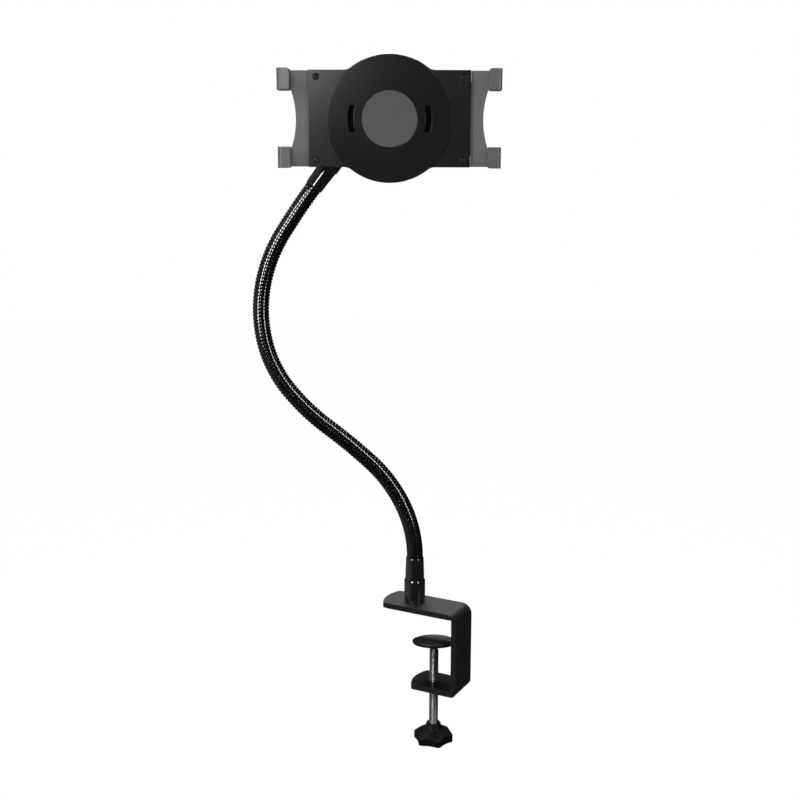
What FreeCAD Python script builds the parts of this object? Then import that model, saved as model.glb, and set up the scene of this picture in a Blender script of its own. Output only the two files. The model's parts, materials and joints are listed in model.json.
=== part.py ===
import FreeCAD, Part
import math
import os
import re
import Sketcher
from FreeCAD import Placement, Rotation, Vector

# Desk stand for a tablet, in millimetres: a screw clamp, a ribbed bendable neck and a holder
# whose two sprung arms draw in over the tablet's short sides.
# X runs to the right, Y to the rear and Z up. The origin is on the underside of the pad under
# the clamp's upper jaw, below the axis of the neck's post. The holder faces -Y.

doc = FreeCAD.newDocument("TabletArmStand")
sheet = doc.addObject("Spreadsheet::Sheet", "Sizes")

SIZES = [
    # clamp bar, seen along its width, and the pad under its upper jaw
    ("jaw_yaw", 27.4, "turn of the clamp about the post"),
    ("bar_width", 32.2, "width of the bent bar"),
    ("bar_thick", 4.7, "thickness of the bent bar"),
    ("bar_bend", 1, "inner radius of the bar's two bends"),
    ("upper_bend", 9, "outer radius of the bend beside the upper jaw"),
    ("lower_bend", 5, "outer radius of the bend beside the lower jaw"),
    ("clamp_height", 75.2, "over both jaws"),
    ("jaw_back", 47.5, "post axis to the spine's outer face"),
    ("jaw_front", 27, "post axis to the upper jaw's tip"),
    ("lower_jaw", 46.8, "spine's outer face to the lower jaw's tip"),
    ("tip_bulge", 32, "radius of the jaws' bulging tips"),
    ("tip_corner", 3, "corner radius of the jaws' tips"),
    ("jaw_pad_thick", 1.2, "rubber pad under the upper jaw"),
    ("jaw_pad_inset", 1.8, "pad edge to jaw edge"),
    # clamp screw, its swivelling foot and its knob
    ("screw_offset", 19.3, "post axis to screw axis"),
    ("screw_radius", 4, "M8 clamp screw"),
    ("screw_pitch", 1.25, "thread pitch"),
    ("screw_thread_depth", 0.6, "crest to root"),
    ("screw_play", 0.12, "screw in the lower jaw"),
    ("foot_drop", 26.6, "pad underside to the foot's top"),
    ("foot_tilt", 8, "how far the loose foot hangs with its near edge up"),
    ("foot_radius", 18.9, "foot dish"),
    ("foot_rim", 2, "height of the dish's rim"),
    ("foot_wall", 1.6, "dish wall beside the rubber"),
    ("foot_rubber_thick", 1.6, "rubber disc in the dish"),
    ("foot_rubber_proud", 1, "rubber above the dish's rim"),
    ("foot_hub_radius", 5.4, "dish hub"),
    ("foot_depth", 5.8, "dish rim to the hub's underside"),
    ("foot_ball_radius", 3.2, "ball in the dish's hub"),
    ("foot_ball_drop", 4.6, "dish rim to ball centre"),
    ("peg_radius", 2, "turned end of the screw in the ball"),
    ("peg_reach", 1.6, "peg beyond the ball's centre"),
    ("foot_swing_gap", 1.2, "screw shoulder below the dish"),
    ("knob_hub_drop", 104.7, "pad underside to the knob's top"),
    ("knob_waist", 14.6, "knob axis to the middle of a hollow"),
    ("knob_lobes", 6, "lobes round the clamp knob"),
    ("knob_lobe_height", 12, "height of the lobed rim"),
    ("knob_hub_height", 4.4, "cone above the lobes"),
    ("knob_hub_radius", 6.2, "narrow end of the cone"),
    ("knob_hub_spread", 1.4, "how much wider the cone is at the lobes"),
    ("knob_scallop", 22, "radius of the hollows between lobes"),
    ("knob_blank", 6, "blank beyond the hollows' middles, cut back to the lobes"),
    ("knob_fall", 0.6, "fall of the lobes' top, for each length outward"),
    ("knob_lobe_round", 3.4, "rounding of the lobes, seen from above"),
    ("knob_edge", 0.8, "rounding of the knobs' edges"),
    ("knob_turn", 12.4, "how the clamp knob happens to be turned"),
    ("knob_grip", 11, "screw length inside the knob"),
    # post collar and the ferrules at both ends of the neck
    ("collar_radius", 9.1, "post collar"),
    ("collar_height", 20.4, "post collar"),
    ("collar_bevel", 0.8, "edge of the collar's mouth"),
    ("collar_screw_radius", 3, "countersunk screw into the post collar"),
    ("collar_screw_head", 5.8, "head radius"),
    ("collar_screw_bite", 5.6, "screw length inside the collar"),
    ("ferrule_base", 8.25, "ferrule radius at the collar"),
    ("ferrule_tip", 7.65, "ferrule radius at the neck"),
    ("ferrule_height", 20.1, "ferrule without its stud"),
    ("ferrule_grip", 14, "neck end inside the ferrule"),
    ("stud_radius", 5, "ferrule stud"),
    ("stud_length", 13, "ferrule stud"),
    ("swivel_gap", 0.1, "faces and shafts that turn on each other"),
    ("seat_gap", 0.05, "pieces pressed or glued into each other"),
    ("cut_past", 1, "how far a cut runs past a face"),
    # neck: equal pieces that turn on balls, each bent to the curve that is held at rest
    ("neck_piece", 47.05, "length of a piece along the curve"),
    ("neck_lean", 7.3, "backward lean of the neck's plane"),
    ("heading_one", 25.7, "direction at the end of piece 1, left of upright"),
    ("heading_two", 47.5, "end of piece 2"),
    ("heading_three", 53.4, "end of piece 3"),
    ("heading_four", 39.2, "end of piece 4"),
    ("heading_five", 13, "end of piece 5"),
    ("heading_six", -10.2, "end of piece 6"),
    ("heading_seven", -31.7, "end of piece 7"),
    ("heading_eight", -36.6, "end of piece 8, the upper ferrule's direction"),
    ("rib_crest", 7, "neck radius on the ribs"),
    ("rib_groove", 6.4, "neck radius between the ribs"),
    ("ribs_per_piece", 15, "ribs on each piece"),
    ("neck_bore", 3.6, "radius of the hollow through the neck"),
    ("neck_spigot", 6, "plain neck end inside a ferrule"),
    ("neck_ball", 5.6, "ball between two pieces"),
    ("neck_ball_play", 0.1, "ball in its socket"),
    ("socket_reach", 1, "socket rim beyond the ball's centre"),
    ("neck_swing", 14, "largest turn of one ball"),
    # tilting clutch behind the holder
    ("pin_reach", 84, "upper end of the neck to the tilt axis"),
    ("lug_radius", 12, "round ends of both clutch halves"),
    ("lug_thick", 12, "arm half, along the tilt axis"),
    ("arm_depth", 15, "arm between collar and lug, front to rear"),
    ("clutch_washer", 1, "friction washer"),
    ("clutch_washer_radius", 10.5, "friction washer"),
    ("bracket_thick", 10, "bracket half, along the tilt axis"),
    ("bracket_offset", 18.1, "arm centre to the swivel axis, along the tilt axis"),
    ("pin_standoff", 24, "tilt axis to the holder's rear face"),
    ("pin_radius", 3, "tilt bolt"),
    ("bolt_head_radius", 6, "tilt bolt head"),
    ("bolt_head_height", 3.6, "tilt bolt head"),
    ("tilt_knob_waist", 10.5, "knob axis to the middle of a hollow"),
    ("tilt_knob_lobes", 5, "lobes round the tilt knob"),
    ("tilt_knob_height", 9, "height of the lobed rim"),
    ("tilt_knob_hub", 3, "cone under the lobes"),
    ("flange_radius", 22, "swivel flange behind the holder"),
    ("flange_thick", 4, "swivel flange"),
    ("flange_gap", 0.3, "flange to rear cover"),
    ("hub_radius", 9, "swivel hub through the rear cover"),
    ("swivel_washer_radius", 13, "washer that holds the hub"),
    ("swivel_washer_thick", 1.2, "washer that holds the hub"),
    ("swivel_screw_radius", 2.5, "screw into the hub"),
    ("swivel_screw_head", 4.8, "head radius"),
    ("swivel_screw_head_height", 2.2, "head height"),
    # holder body; depths run forward from its rear face
    ("body_width", 131.7, "holder body"),
    ("body_height", 77.1, "holder body"),
    ("body_depth", 13, "rear face to front face"),
    ("body_split", 5, "rear face to the joint between the covers"),
    ("disc_radius", 51.2, "round front disc"),
    ("disc_raise", 1.5, "disc above the front face"),
    ("disc_bevel", 0.7, "edge of the disc"),
    ("outline_fillet", 10, "where the disc meets the long edges"),
    ("front_wall", 2, "front plate"),
    ("rear_wall", 2.4, "rear plate"),
    ("side_wall", 2, "rim of both covers"),
    ("centre_pad_radius", 22.6, "soft pad in the disc's middle"),
    ("centre_pad_thick", 1.5, "soft pad"),
    ("centre_pad_sink", 1, "depth of its recess"),
    ("grip_slot_radius", 32, "curved recesses beside the pad"),
    ("grip_slot_width", 4.6, "curved recesses"),
    ("grip_slot_half", 10.7, "half their height"),
    ("grip_slot_deep", 1.4, "their depth"),
    ("cover_screw_x", 59.6, "cover screws, from the centre"),
    ("cover_screw_z", 33, "cover screws, from the centre"),
    ("cover_screw_sink", 2.75, "radius of their recesses"),
    ("cover_screw_seat", 1.2, "depth of their recesses"),
    ("cover_screw_head", 2.5, "head radius"),
    ("cover_screw_shank", 1.25, "shank radius"),
    ("cover_screw_length", 8, "under the head"),
    ("post_radius", 3.1, "screw posts of the rear cover"),
    # sprung arms, in the drawn-in position
    ("arm_travel", 42, "outward slide of each arm"),
    ("arm_thick", 4, "arm plate"),
    ("arm_play", 0.4, "arm to front plate"),
    ("arm_height", 76.4, "arm outside the body"),
    ("finger_inner", 22.9, "centre line to a finger's inner edge"),
    ("finger_root", 80.1, "centre to the ends of the arm's hollow edge"),
    ("hollow_reach", 76.3, "centre to the middle of the arm's hollow edge"),
    ("hook_outer", 90, "centre to a hook's outer face"),
    ("hook_wall", 3.3, "hook side wall"),
    ("hook_lip", 10.2, "lip, from the outer face inward"),
    ("hook_lip_thick", 3, "lip"),
    ("hook_height", 16.9, "hook along Z"),
    ("hook_overhang", 0.95, "hook beyond the arm's edge"),
    ("hook_round", 3.4, "rounding of the hooks' outer front edge"),
    ("hook_corner", 2.2, "corner radius of the lips"),
    ("hook_sleeve", 1.3, "hook wall round the arm's finger"),
    ("hook_grasp", 5.7, "finger length inside the hook"),
    ("tablet_room", 11.5, "disc face to the lip's inner face"),
    ("tongue_half", 29.5, "half height of the arm inside the body"),
    ("tongue_end", 16.5, "centre to the tongue's end"),
    ("rack_spare", 5, "rack beyond the centre when the arm is drawn out"),
    ("rack_back", 5, "rack strip behind its teeth"),
    ("slot_play", 0.5, "around the other arm's rack"),
    ("gear_pitch_radius", 8, "pinion"),
    ("gear_teeth", 16, "pinion"),
    ("gear_addendum", 0.85, "tooth above the pitch line"),
    ("gear_dedendum", 1.15, "tooth below the pitch line"),
    ("gear_backlash", 0.4, "between the teeth"),
    ("gear_axle", 3, "pinion axle on the front cover"),
    ("spring_radius", 2, "return spring"),
    ("spring_wire", 0.6, "wall of the wound tube"),
    ("spring_height", 21, "centre line to a return spring"),
    ("spring_peg_x", 8, "fixed end, beyond the centre"),
    ("spring_slot_end", 60, "moving end, from the centre"),
    ("peg_spring_radius", 1.5, "spring peg on the rear cover"),
]

for row, (alias, number, note) in enumerate(SIZES, start=1):
    sheet.set(f"A{row}", alias)
    sheet.set(f"B{row}", str(number))
    sheet.set(f"C{row}", note)
    sheet.setAlias(f"B{row}", alias)
doc.recompute()

ALIASES = {alias for alias, number, note in SIZES}


def rule(text):
    """A formula in the sheet's words, written so that any object can follow it."""
    return re.sub(r"[a-z_]+", lambda m: f"Sizes.{m[0]}" if m[0] in ALIASES else m[0], text)


def value(text):
    """What a formula in the sheet's words comes to."""
    return float(sheet.evalExpression(rule(text)))


def bind(thing, **rules):
    for name, text in rules.items():
        thing.setExpression(name, rule(text))
    return thing


def frame(origin, x_axis, z_axis):
    return Placement(origin, Rotation(x_axis, z_axis.cross(x_axis), z_axis, "ZXY"))


# Sketch and feature helpers

def new_body(label, placement):
    body = doc.addObject("PartDesign::Body", label)
    body.Label = label
    body.Placement = placement
    return body


def sketch_on(body, role, lift="0"):
    """A sketch on one of the body's own planes, lifted along the plane's normal."""
    sketch = body.newObject("Sketcher::SketchObject", f"{body.Label}_sketch")
    plane = next(item for item in body.Origin.OriginFeatures if item.Role == role)
    sketch.AttachmentSupport = (plane, [""])
    sketch.MapMode = "FlatFace"
    sketch.setExpression("AttachmentOffset.Base.z", rule(lift))
    return sketch


def hold(sketch, kind, places, text):
    index = sketch.addConstraint(Sketcher.Constraint(kind, *places, value(text)))
    sketch.setExpression(f"Constraints[{index}]", rule(text))


def hold_point(sketch, item, end, across, up):
    hold(sketch, "DistanceX", (-1, 1, item, end), across)
    hold(sketch, "DistanceY", (-1, 1, item, end), up)


def draw_polygon(sketch, corners):
    """A closed outline through corners that are pairs of formulas."""
    spots = [Vector(value(across), value(up), 0) for across, up in corners]
    count = len(spots)
    lines = [
        sketch.addGeometry(Part.LineSegment(spots[i], spots[(i + 1) % count]))
        for i in range(count)
    ]
    for i in range(count):
        following = lines[(i + 1) % count]
        sketch.addConstraint(Sketcher.Constraint("Coincident", lines[i], 2, following, 1))
    for line, (across, up) in zip(lines, corners):
        hold_point(sketch, line, 1, across, up)


def draw_rectangle(sketch, left, right, low, high):
    draw_polygon(sketch, [(left, low), (right, low), (right, high), (left, high)])


def draw_circle(sketch, across, up, radius):
    centre = Vector(value(across), value(up), 0)
    item = sketch.addGeometry(Part.Circle(centre, Vector(0, 0, 1), value(radius)))
    hold_point(sketch, item, 3, across, up)
    hold(sketch, "Radius", (item,), radius)


def pad(body, sketch, length, midplane=False):
    feature = body.newObject("PartDesign::Pad", f"{body.Label}_pad")
    feature.Profile = sketch
    feature.SideType = "Symmetric" if midplane else "One side"
    bind(feature, Length=length)
    doc.recompute()
    return feature


def pocket(body, sketch, depth, midplane=False, forward=False):
    """Cuts against the sketch's normal, or along it where forward is set."""
    before = body.Shape.Volume
    feature = body.newObject("PartDesign::Pocket", f"{body.Label}_pocket")
    feature.Profile = sketch
    feature.SideType = "Symmetric" if midplane else "One side"
    feature.Reversed = forward
    bind(feature, Length=depth)
    doc.recompute()
    if body.Shape.Volume >= before:
        raise RuntimeError(f"{body.Label}: a pocket cuts nothing")
    return feature


def turn(body, sketch, cut=False):
    """Turns a sketch of radius and height about the sketch's upright axis."""
    kind = "Groove" if cut else "Revolution"
    feature = body.newObject(f"PartDesign::{kind}", f"{body.Label}_{kind.lower()}")
    feature.Profile = sketch
    feature.ReferenceAxis = (sketch, ["V_Axis"])
    feature.Angle = 360
    doc.recompute()
    return feature


def polar(body, feature, sketch, count):
    pattern = body.newObject("PartDesign::PolarPattern", f"{body.Label}_polar")
    pattern.Originals = [feature]
    pattern.Axis = (sketch, ["N_Axis"])
    pattern.Angle = 360
    bind(pattern, Occurrences=count)
    body.Tip = pattern
    doc.recompute()
    return pattern


def local_edges(body, test):
    """Names of the edges, in the body's own frame, whose middle point and direction pass a test."""
    names = []
    for number, edge in enumerate(body.Tip.Shape.Edges, start=1):
        middle = edge.valueAt((edge.FirstParameter + edge.LastParameter) / 2)
        along = edge.tangentAt(edge.FirstParameter)
        if test(edge, middle, along):
            names.append(f"Edge{number}")
    return names


def dress(body, kind, names, **rules):
    """A Fillet or Chamfer on named edges of the body's last feature."""
    if not names:
        raise RuntimeError(f"{body.Label}: no edge found for a {kind}")
    base = body.Tip
    feature = body.newObject(f"PartDesign::{kind}", f"{body.Label}_{kind.lower()}")
    feature.Base = (base, names)
    bind(feature, **rules)
    body.Tip = feature
    doc.recompute()
    return feature


def near(a, b, slack=0.01):
    return abs(a - b) < slack


def turned_body(label, placement, corners):
    body = new_body(label, placement)
    sketch = sketch_on(body, "XZ_Plane")
    draw_polygon(sketch, corners)
    turn(body, sketch)
    return body


NODES = []


def keep(thing):
    NODES.append(thing)
    return thing


# Clamp

X_AXIS, Y_AXIS, Z_AXIS = Vector(1, 0, 0), Vector(0, 1, 0), Vector(0, 0, 1)
CLAMP = Placement(Vector(0, 0, 0), Rotation(Z_AXIS, -value("jaw_yaw")))
JAW_TOP = "(jaw_pad_thick + bar_thick)"
JAW_LOW = f"({JAW_TOP} - clamp_height)"
SPINE = "(jaw_back - bar_thick)"


def bulge_tip(body, top, tip):
    """Cuts a jaw's square tip to an arc; top is the jaw's upper face and tip its reach."""
    waste = sketch_on(body, "XY_Plane", top)
    side = "(bar_width / 2 + cut_past)"
    bulge, half = value("tip_bulge"), value(side)
    middle = Vector(value(f"{tip} + tip_bulge"), 0, 0)
    swing = math.asin(half / bulge)
    round_tip = Part.ArcOfCircle(Part.Circle(middle, Z_AXIS, bulge), math.pi - swing, math.pi + swing)
    arc = waste.addGeometry(round_tip)
    far = f"{tip} - cut_past"
    near_x = middle.x - bulge * math.cos(swing)
    corners = [
        Vector(near_x, -half, 0),
        Vector(value(far), -half, 0),
        Vector(value(far), half, 0),
        Vector(near_x, half, 0),
    ]
    low, end, high = [
        waste.addGeometry(Part.LineSegment(a, b)) for a, b in zip(corners, corners[1:])
    ]
    loop = [arc, low, end, high]
    for item, following in zip(loop, loop[1:] + loop[:1]):
        waste.addConstraint(Sketcher.Constraint("Coincident", item, 2, following, 1))
    hold_point(waste, arc, 3, f"{tip} + tip_bulge", "0")
    hold(waste, "Radius", (arc,), "tip_bulge")
    hold_point(waste, end, 1, far, f"-{side}")
    hold_point(waste, end, 2, far, side)
    hold(waste, "DistanceY", (-1, 1, low, 1), f"-{side}")
    hold(waste, "DistanceY", (-1, 1, high, 2), side)
    pocket(body, waste, "bar_thick")


def make_clamp_frame():
    body = new_body("clamp_frame", CLAMP)
    profile = sketch_on(body, "XZ_Plane")
    draw_polygon(profile, [
        ("-jaw_front", JAW_TOP),
        ("jaw_back", JAW_TOP),
        ("jaw_back", JAW_LOW),
        ("jaw_back - lower_jaw", JAW_LOW),
        ("jaw_back - lower_jaw", f"{JAW_LOW} + bar_thick"),
        (SPINE, f"{JAW_LOW} + bar_thick"),
        (SPINE, "jaw_pad_thick"),
        ("-jaw_front", "jaw_pad_thick"),
    ])
    pad(body, profile, "bar_width", midplane=True)

    def bend(corner_x, height):
        return local_edges(
            body,
            lambda edge, at, along: near(abs(along.y), 1) and near(at.x, corner_x) and near(at.z, height),
        )

    for height in ("jaw_pad_thick", f"{JAW_LOW} + bar_thick"):
        dress(body, "Fillet", bend(value(SPINE), value(height)), Radius="bar_bend")
    dress(body, "Fillet", bend(value("jaw_back"), value(JAW_TOP)), Radius="upper_bend")
    dress(body, "Fillet", bend(value("jaw_back"), value(JAW_LOW)), Radius="lower_bend")
    bulge_tip(body, JAW_TOP, "-jaw_front")
    bulge_tip(body, f"{JAW_LOW} + bar_thick", "jaw_back - lower_jaw")
    side = value("bar_width / 2")
    spine = value(f"{SPINE} - bar_bend")
    tip_corners = local_edges(
        body, lambda edge, at, along: near(abs(along.z), 1) and near(abs(at.y), side) and at.x < spine
    )
    dress(body, "Fillet", tip_corners, Radius="tip_corner")

    screw_seat = sketch_on(body, "XZ_Plane")
    draw_polygon(screw_seat, [
        ("0", "0"),
        ("collar_screw_head + swivel_gap", "0"),
        ("collar_screw_head + swivel_gap", "jaw_pad_thick"),
        ("collar_screw_radius + swivel_gap", "jaw_pad_thick + collar_screw_head - collar_screw_radius"),
        ("collar_screw_radius + swivel_gap", f"{JAW_TOP} + cut_past"),
        ("0", f"{JAW_TOP} + cut_past"),
    ])
    turn(body, screw_seat, cut=True)

    bore = sketch_on(body, "XY_Plane", f"{JAW_LOW} + bar_thick")
    draw_circle(bore, "screw_offset", "0", "screw_radius + screw_play")
    pocket(body, bore, "bar_thick")
    return body


def make_jaw_pad():
    body = new_body("jaw_pad", CLAMP)
    outline = sketch_on(body, "XY_Plane")
    half = "(bar_width / 2 - jaw_pad_inset)"
    draw_rectangle(
        outline, "-jaw_front + jaw_pad_inset", f"{SPINE} - bar_bend - jaw_pad_inset", f"-{half}", half
    )
    pad(body, outline, "jaw_pad_thick")
    tip = value("-jaw_front + jaw_pad_inset + tip_corner")
    corners = local_edges(
        body, lambda edge, at, along: near(abs(along.z), 1) and at.x < tip
    )
    dress(body, "Fillet", corners, Radius="tip_corner * 2")
    return body


def make_post_collar():
    """Turned sleeve on the upper jaw, bored for the stud and tapped from below."""
    top = f"({JAW_TOP} + collar_height)"
    bore = "(stud_radius + swivel_gap)"
    floor = f"({top} - stud_length - swivel_gap)"
    return turned_body("post_collar", CLAMP, [
        ("collar_radius", JAW_TOP),
        ("collar_radius", f"{top} - collar_bevel"),
        ("collar_radius - collar_bevel", top),
        (bore, top),
        (bore, floor),
        ("collar_screw_radius + seat_gap", floor),
        ("collar_screw_radius + seat_gap", JAW_TOP),
    ])


def make_collar_screw():
    """Countersunk screw that holds the post collar; its head is level with the jaw."""
    head_top = "(jaw_pad_thick + swivel_gap + collar_screw_head - collar_screw_radius)"
    return turned_body("collar_screw", CLAMP, [
        ("0", "jaw_pad_thick + swivel_gap"),
        ("collar_screw_head - swivel_gap", "jaw_pad_thick + swivel_gap"),
        ("collar_screw_radius", head_top),
        ("collar_screw_radius", f"{JAW_TOP} + collar_screw_bite"),
        ("0", f"{JAW_TOP} + collar_screw_bite"),
    ])


SCREW_AXIS = CLAMP.multiply(Placement(Vector(value("screw_offset"), 0, 0), Rotation()))
DISH_TOP = "(-foot_drop - foot_rubber_proud)"
BALL_AT = f"({DISH_TOP} - foot_ball_drop)"
DISH_LOW = f"({DISH_TOP} - foot_depth)"
KNOB_TOP = "(-knob_hub_drop)"
# where a thread's crest starts and ends, as shares of its pitch
THREAD_CREST = (0.45, 0.55)
BALL_CENTRE = SCREW_AXIS.multVec(Vector(0, 0, value(BALL_AT)))
FOOT_TURN = Placement(Vector(0, 0, 0), Rotation(X_AXIS, -value("foot_tilt")), BALL_CENTRE)
FOOT = FOOT_TURN.multiply(SCREW_AXIS)


def make_foot_dish():
    body = new_body("foot_dish", FOOT)
    profile = sketch_on(body, "XZ_Plane")
    floor = f"{DISH_TOP} + foot_rubber_proud - foot_rubber_thick"
    draw_polygon(profile, [
        ("0", floor),
        ("foot_radius - foot_wall", floor),
        ("foot_radius - foot_wall", DISH_TOP),
        ("foot_radius", DISH_TOP),
        ("foot_radius", f"{DISH_TOP} - foot_rim"),
        ("foot_hub_radius + foot_wall", f"{DISH_TOP} - foot_rim - foot_wall"),
        ("foot_hub_radius", DISH_LOW),
        ("0", DISH_LOW),
    ])
    turn(body, profile)
    rim_low = value(f"{DISH_TOP} - foot_rim")
    rim = local_edges(body, lambda edge, at, along: near(at.z, rim_low))
    dress(body, "Fillet", rim, Radius="foot_rim / 2")
    return body


def make_foot():
    """The dish with a round socket in its hub, the ball in it and the rubber on it."""
    blank = make_foot_dish()
    socket = bind(
        doc.addObject("Part::Sphere", "foot_socket"), Radius="foot_ball_radius + swivel_gap"
    )
    socket.Placement = Placement(BALL_CENTRE, Rotation())
    dish = doc.addObject("Part::Cut", "foot_dish_cut")
    dish.Base = blank
    dish.Tool = socket
    blank.Label = "foot_dish_blank"
    dish.Label = "foot_dish"
    keep(dish)
    rubber_low = f"{DISH_TOP} + foot_rubber_proud - foot_rubber_thick"
    rubber = "(foot_radius - foot_wall - seat_gap)"
    keep(turned_body("foot_rubber", FOOT, [
        ("0", rubber_low),
        (rubber, rubber_low),
        (rubber, DISH_TOP),
        (f"{rubber} - foot_rubber_proud", f"{DISH_TOP} + foot_rubber_proud"),
        ("0", f"{DISH_TOP} + foot_rubber_proud"),
    ]))
    sphere = bind(doc.addObject("Part::Sphere", "foot_ball_blank"), Radius="foot_ball_radius")
    sphere.Placement = socket.Placement
    bore = bind(
        doc.addObject("Part::Cylinder", "foot_ball_bore"),
        Radius="peg_radius + swivel_gap",
        Height="foot_ball_radius * 2",
    )
    ball_low = Vector(0, 0, value(f"{BALL_AT} - foot_ball_radius"))
    bore.Placement = SCREW_AXIS.multiply(Placement(ball_low, Rotation()))
    ball = doc.addObject("Part::Cut", "foot_ball")
    ball.Base = sphere
    ball.Tool = bore
    keep(ball)


def make_clamp_screw():
    """Threaded rod with a turned peg. The thread is drawn as rings, one to each pitch."""
    low = value(f"{KNOB_TOP} - knob_grip")
    high = value(f"{DISH_LOW} - foot_swing_gap")
    crest, pitch = value("screw_radius"), value("screw_pitch")
    root = crest - value("screw_thread_depth")
    peg = value("peg_radius")
    peg_top = value(f"{BALL_AT} + peg_reach")
    rings = int((high - low) / pitch)
    outline = [Vector(0, 0, low), Vector(root, 0, low)]
    for ring in range(rings):
        start = low + ring * pitch
        outline += [Vector(crest, 0, start + pitch * share) for share in THREAD_CREST]
        outline.append(Vector(root, 0, start + pitch))
    outline += [Vector(peg, 0, low + rings * pitch), Vector(peg, 0, peg_top), Vector(0, 0, peg_top)]
    face = Part.Face(Part.makePolygon(outline + outline[:1]))
    screw = doc.addObject("Part::Feature", "clamp_screw")
    screw.Shape = face.revolve(Vector(0, 0, 0), Z_AXIS, 360)
    screw.Placement = SCREW_AXIS
    return screw


def make_knob(label, placement, lobes, waist, height, hub_height, bore, grip):
    """Lobed knob round the local Z axis: falling lobes below z = 0, a cone above, bored from above."""
    body = new_body(label, placement)
    blank = f"({waist} + knob_blank)"
    shoulder = "(knob_hub_radius + knob_hub_spread)"
    disc = sketch_on(body, "XY_Plane", f"-{height}")
    draw_circle(disc, "0", "0", blank)
    pad(body, disc, height)
    hollow = sketch_on(body, "XY_Plane")
    draw_circle(hollow, "0", f"{waist} + knob_scallop", "knob_scallop")
    bite = pocket(body, hollow, height)
    polar(body, bite, hollow, lobes)
    lobe_corners = local_edges(body, lambda edge, at, along: near(abs(along.z), 1))
    dress(body, "Fillet", lobe_corners, Radius="knob_lobe_round")
    low = -value(height)
    rims = local_edges(body, lambda edge, at, along: near(at.z, low))
    dress(body, "Fillet", rims, Radius="knob_edge")
    falling = sketch_on(body, "XZ_Plane")
    draw_polygon(falling, [
        (shoulder, "0"),
        (blank, f"-knob_fall * ({blank} - {shoulder})"),
        (blank, "cut_past"),
        (shoulder, "cut_past"),
    ])
    turn(body, falling, cut=True)
    cone = sketch_on(body, "XZ_Plane")
    draw_polygon(cone, [
        ("0", "-knob_edge"),
        (shoulder, "-knob_edge"),
        (shoulder, "0"),
        ("knob_hub_radius", hub_height),
        ("0", hub_height),
    ])
    turn(body, cone)
    hole = sketch_on(body, "XY_Plane", hub_height)
    draw_circle(hole, "0", "0", bore)
    pocket(body, hole, grip)
    return body


# Neck

HEADINGS = ["one", "two", "three", "four", "five", "six", "seven", "eight"]
NECK_FOOT = f"({JAW_TOP} + collar_height + swivel_gap + ferrule_height)"
# a rib's outline: share of the pitch and radius
RIB_OUTLINE = [(0.02, "rib_groove"), (0.2, "rib_crest"), (0.65, "rib_crest"), (0.83, "rib_groove")]
SHOULDER = 0.01


def neck_directions():
    """Direction of the neck's axis where each piece starts and ends."""
    lean = math.radians(value("neck_lean"))
    directions = [Vector(0, 0, 1)]
    for word in HEADINGS:
        left = math.radians(value(f"heading_{word}"))
        up = math.cos(left)
        directions.append(Vector(-math.sin(left), math.sin(lean) * up, math.cos(lean) * up))
    return directions


class NeckPiece:
    """One piece of the neck: an arc between two directions, straight beyond its ends."""

    def __init__(self, start, before, after, length):
        self.start, self.before, self.after, self.length = start, before, after, length
        self.turn = before.getAngle(after)
        self.radius = length / self.turn
        self.normal = before.cross(after).normalize()
        self.inward = self.normal.cross(before)
        self.end = self.point(length)

    def direction(self, along):
        angle = max(0, min(along, self.length)) / self.radius
        return self.before * math.cos(angle) + self.inward * math.sin(angle)

    def point(self, along):
        on_arc = max(0, min(along, self.length))
        angle = on_arc / self.radius
        spot = (
            self.start
            + self.before * (self.radius * math.sin(angle))
            + self.inward * (self.radius * (1 - math.cos(angle)))
        )
        return spot + self.direction(along) * (along - on_arc)

    def ring(self, along, radius):
        """A circle round the axis, its X axis always along the bend's own axis."""
        circle = Part.makeCircle(radius)
        circle.Placement = frame(self.point(along), self.normal, self.direction(along))
        return Part.Wire([circle])

    def route(self, first, last):
        """The axis from one place to another as straight ends and an arc."""
        edges = []
        if first < 0:
            edges.append(Part.LineSegment(self.point(first), self.start).toShape())
        middle = self.point(self.length / 2)
        edges.append(Part.Arc(self.start, middle, self.end).toShape())
        if last > self.length:
            edges.append(Part.LineSegment(self.end, self.point(last)).toShape())
        return Part.Wire(edges)


def neck_pieces():
    directions = neck_directions()
    spot = Vector(0, 0, value(NECK_FOOT))
    pieces = []
    for before, after in zip(directions, directions[1:]):
        piece = NeckPiece(spot, before, after, value("neck_piece"))
        pieces.append(piece)
        spot = piece.end
    return pieces


def neck_piece_shape(piece, is_first, is_last):
    """Ribs, with a socket at the lower end and a ball at the upper, or a plain end in a ferrule."""
    groove = value("rib_groove")
    grip, spigot = value("ferrule_grip"), value("neck_spigot")
    ball, play = value("neck_ball"), value("neck_ball_play")
    reach = value("socket_reach")
    swing = math.radians(value("neck_swing"))
    # room below the next piece's socket rim when that piece is turned as far as it goes
    room = reach * math.cos(swing) + groove * math.sin(swing) + play * 2
    ribs = int(value("ribs_per_piece"))
    first = 0 if is_first else -reach
    last = piece.length if is_last else piece.length - room
    pitch = (last - first) / ribs
    rings = []
    if is_first:
        rings += [(-grip, spigot), (first, spigot)]
    for rib in range(ribs):
        start = first + rib * pitch
        rings += [(start + pitch * share, value(radius)) for share, radius in RIB_OUTLINE]
    if is_last:
        rings += [(last - SHOULDER, groove), (last, spigot), (last + grip, spigot)]
    else:
        rings.append((last, groove))
    shape = Part.makeLoft([piece.ring(along, radius) for along, radius in rings], True, True)
    if not is_last:
        shape = shape.fuse(Part.makeSphere(ball, piece.end, piece.after))
    if not is_first:
        shape = shape.cut(Part.makeSphere(ball + play, piece.start, piece.before))
    past = value("cut_past")
    low = -grip - past if is_first else -ball
    high = piece.length + (grip if is_last else ball) + past
    bore_ring = piece.ring(low, value("neck_bore"))
    bore = piece.route(low, high).makePipeShell([bore_ring], True, False)
    return shape.cut(bore)


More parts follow.
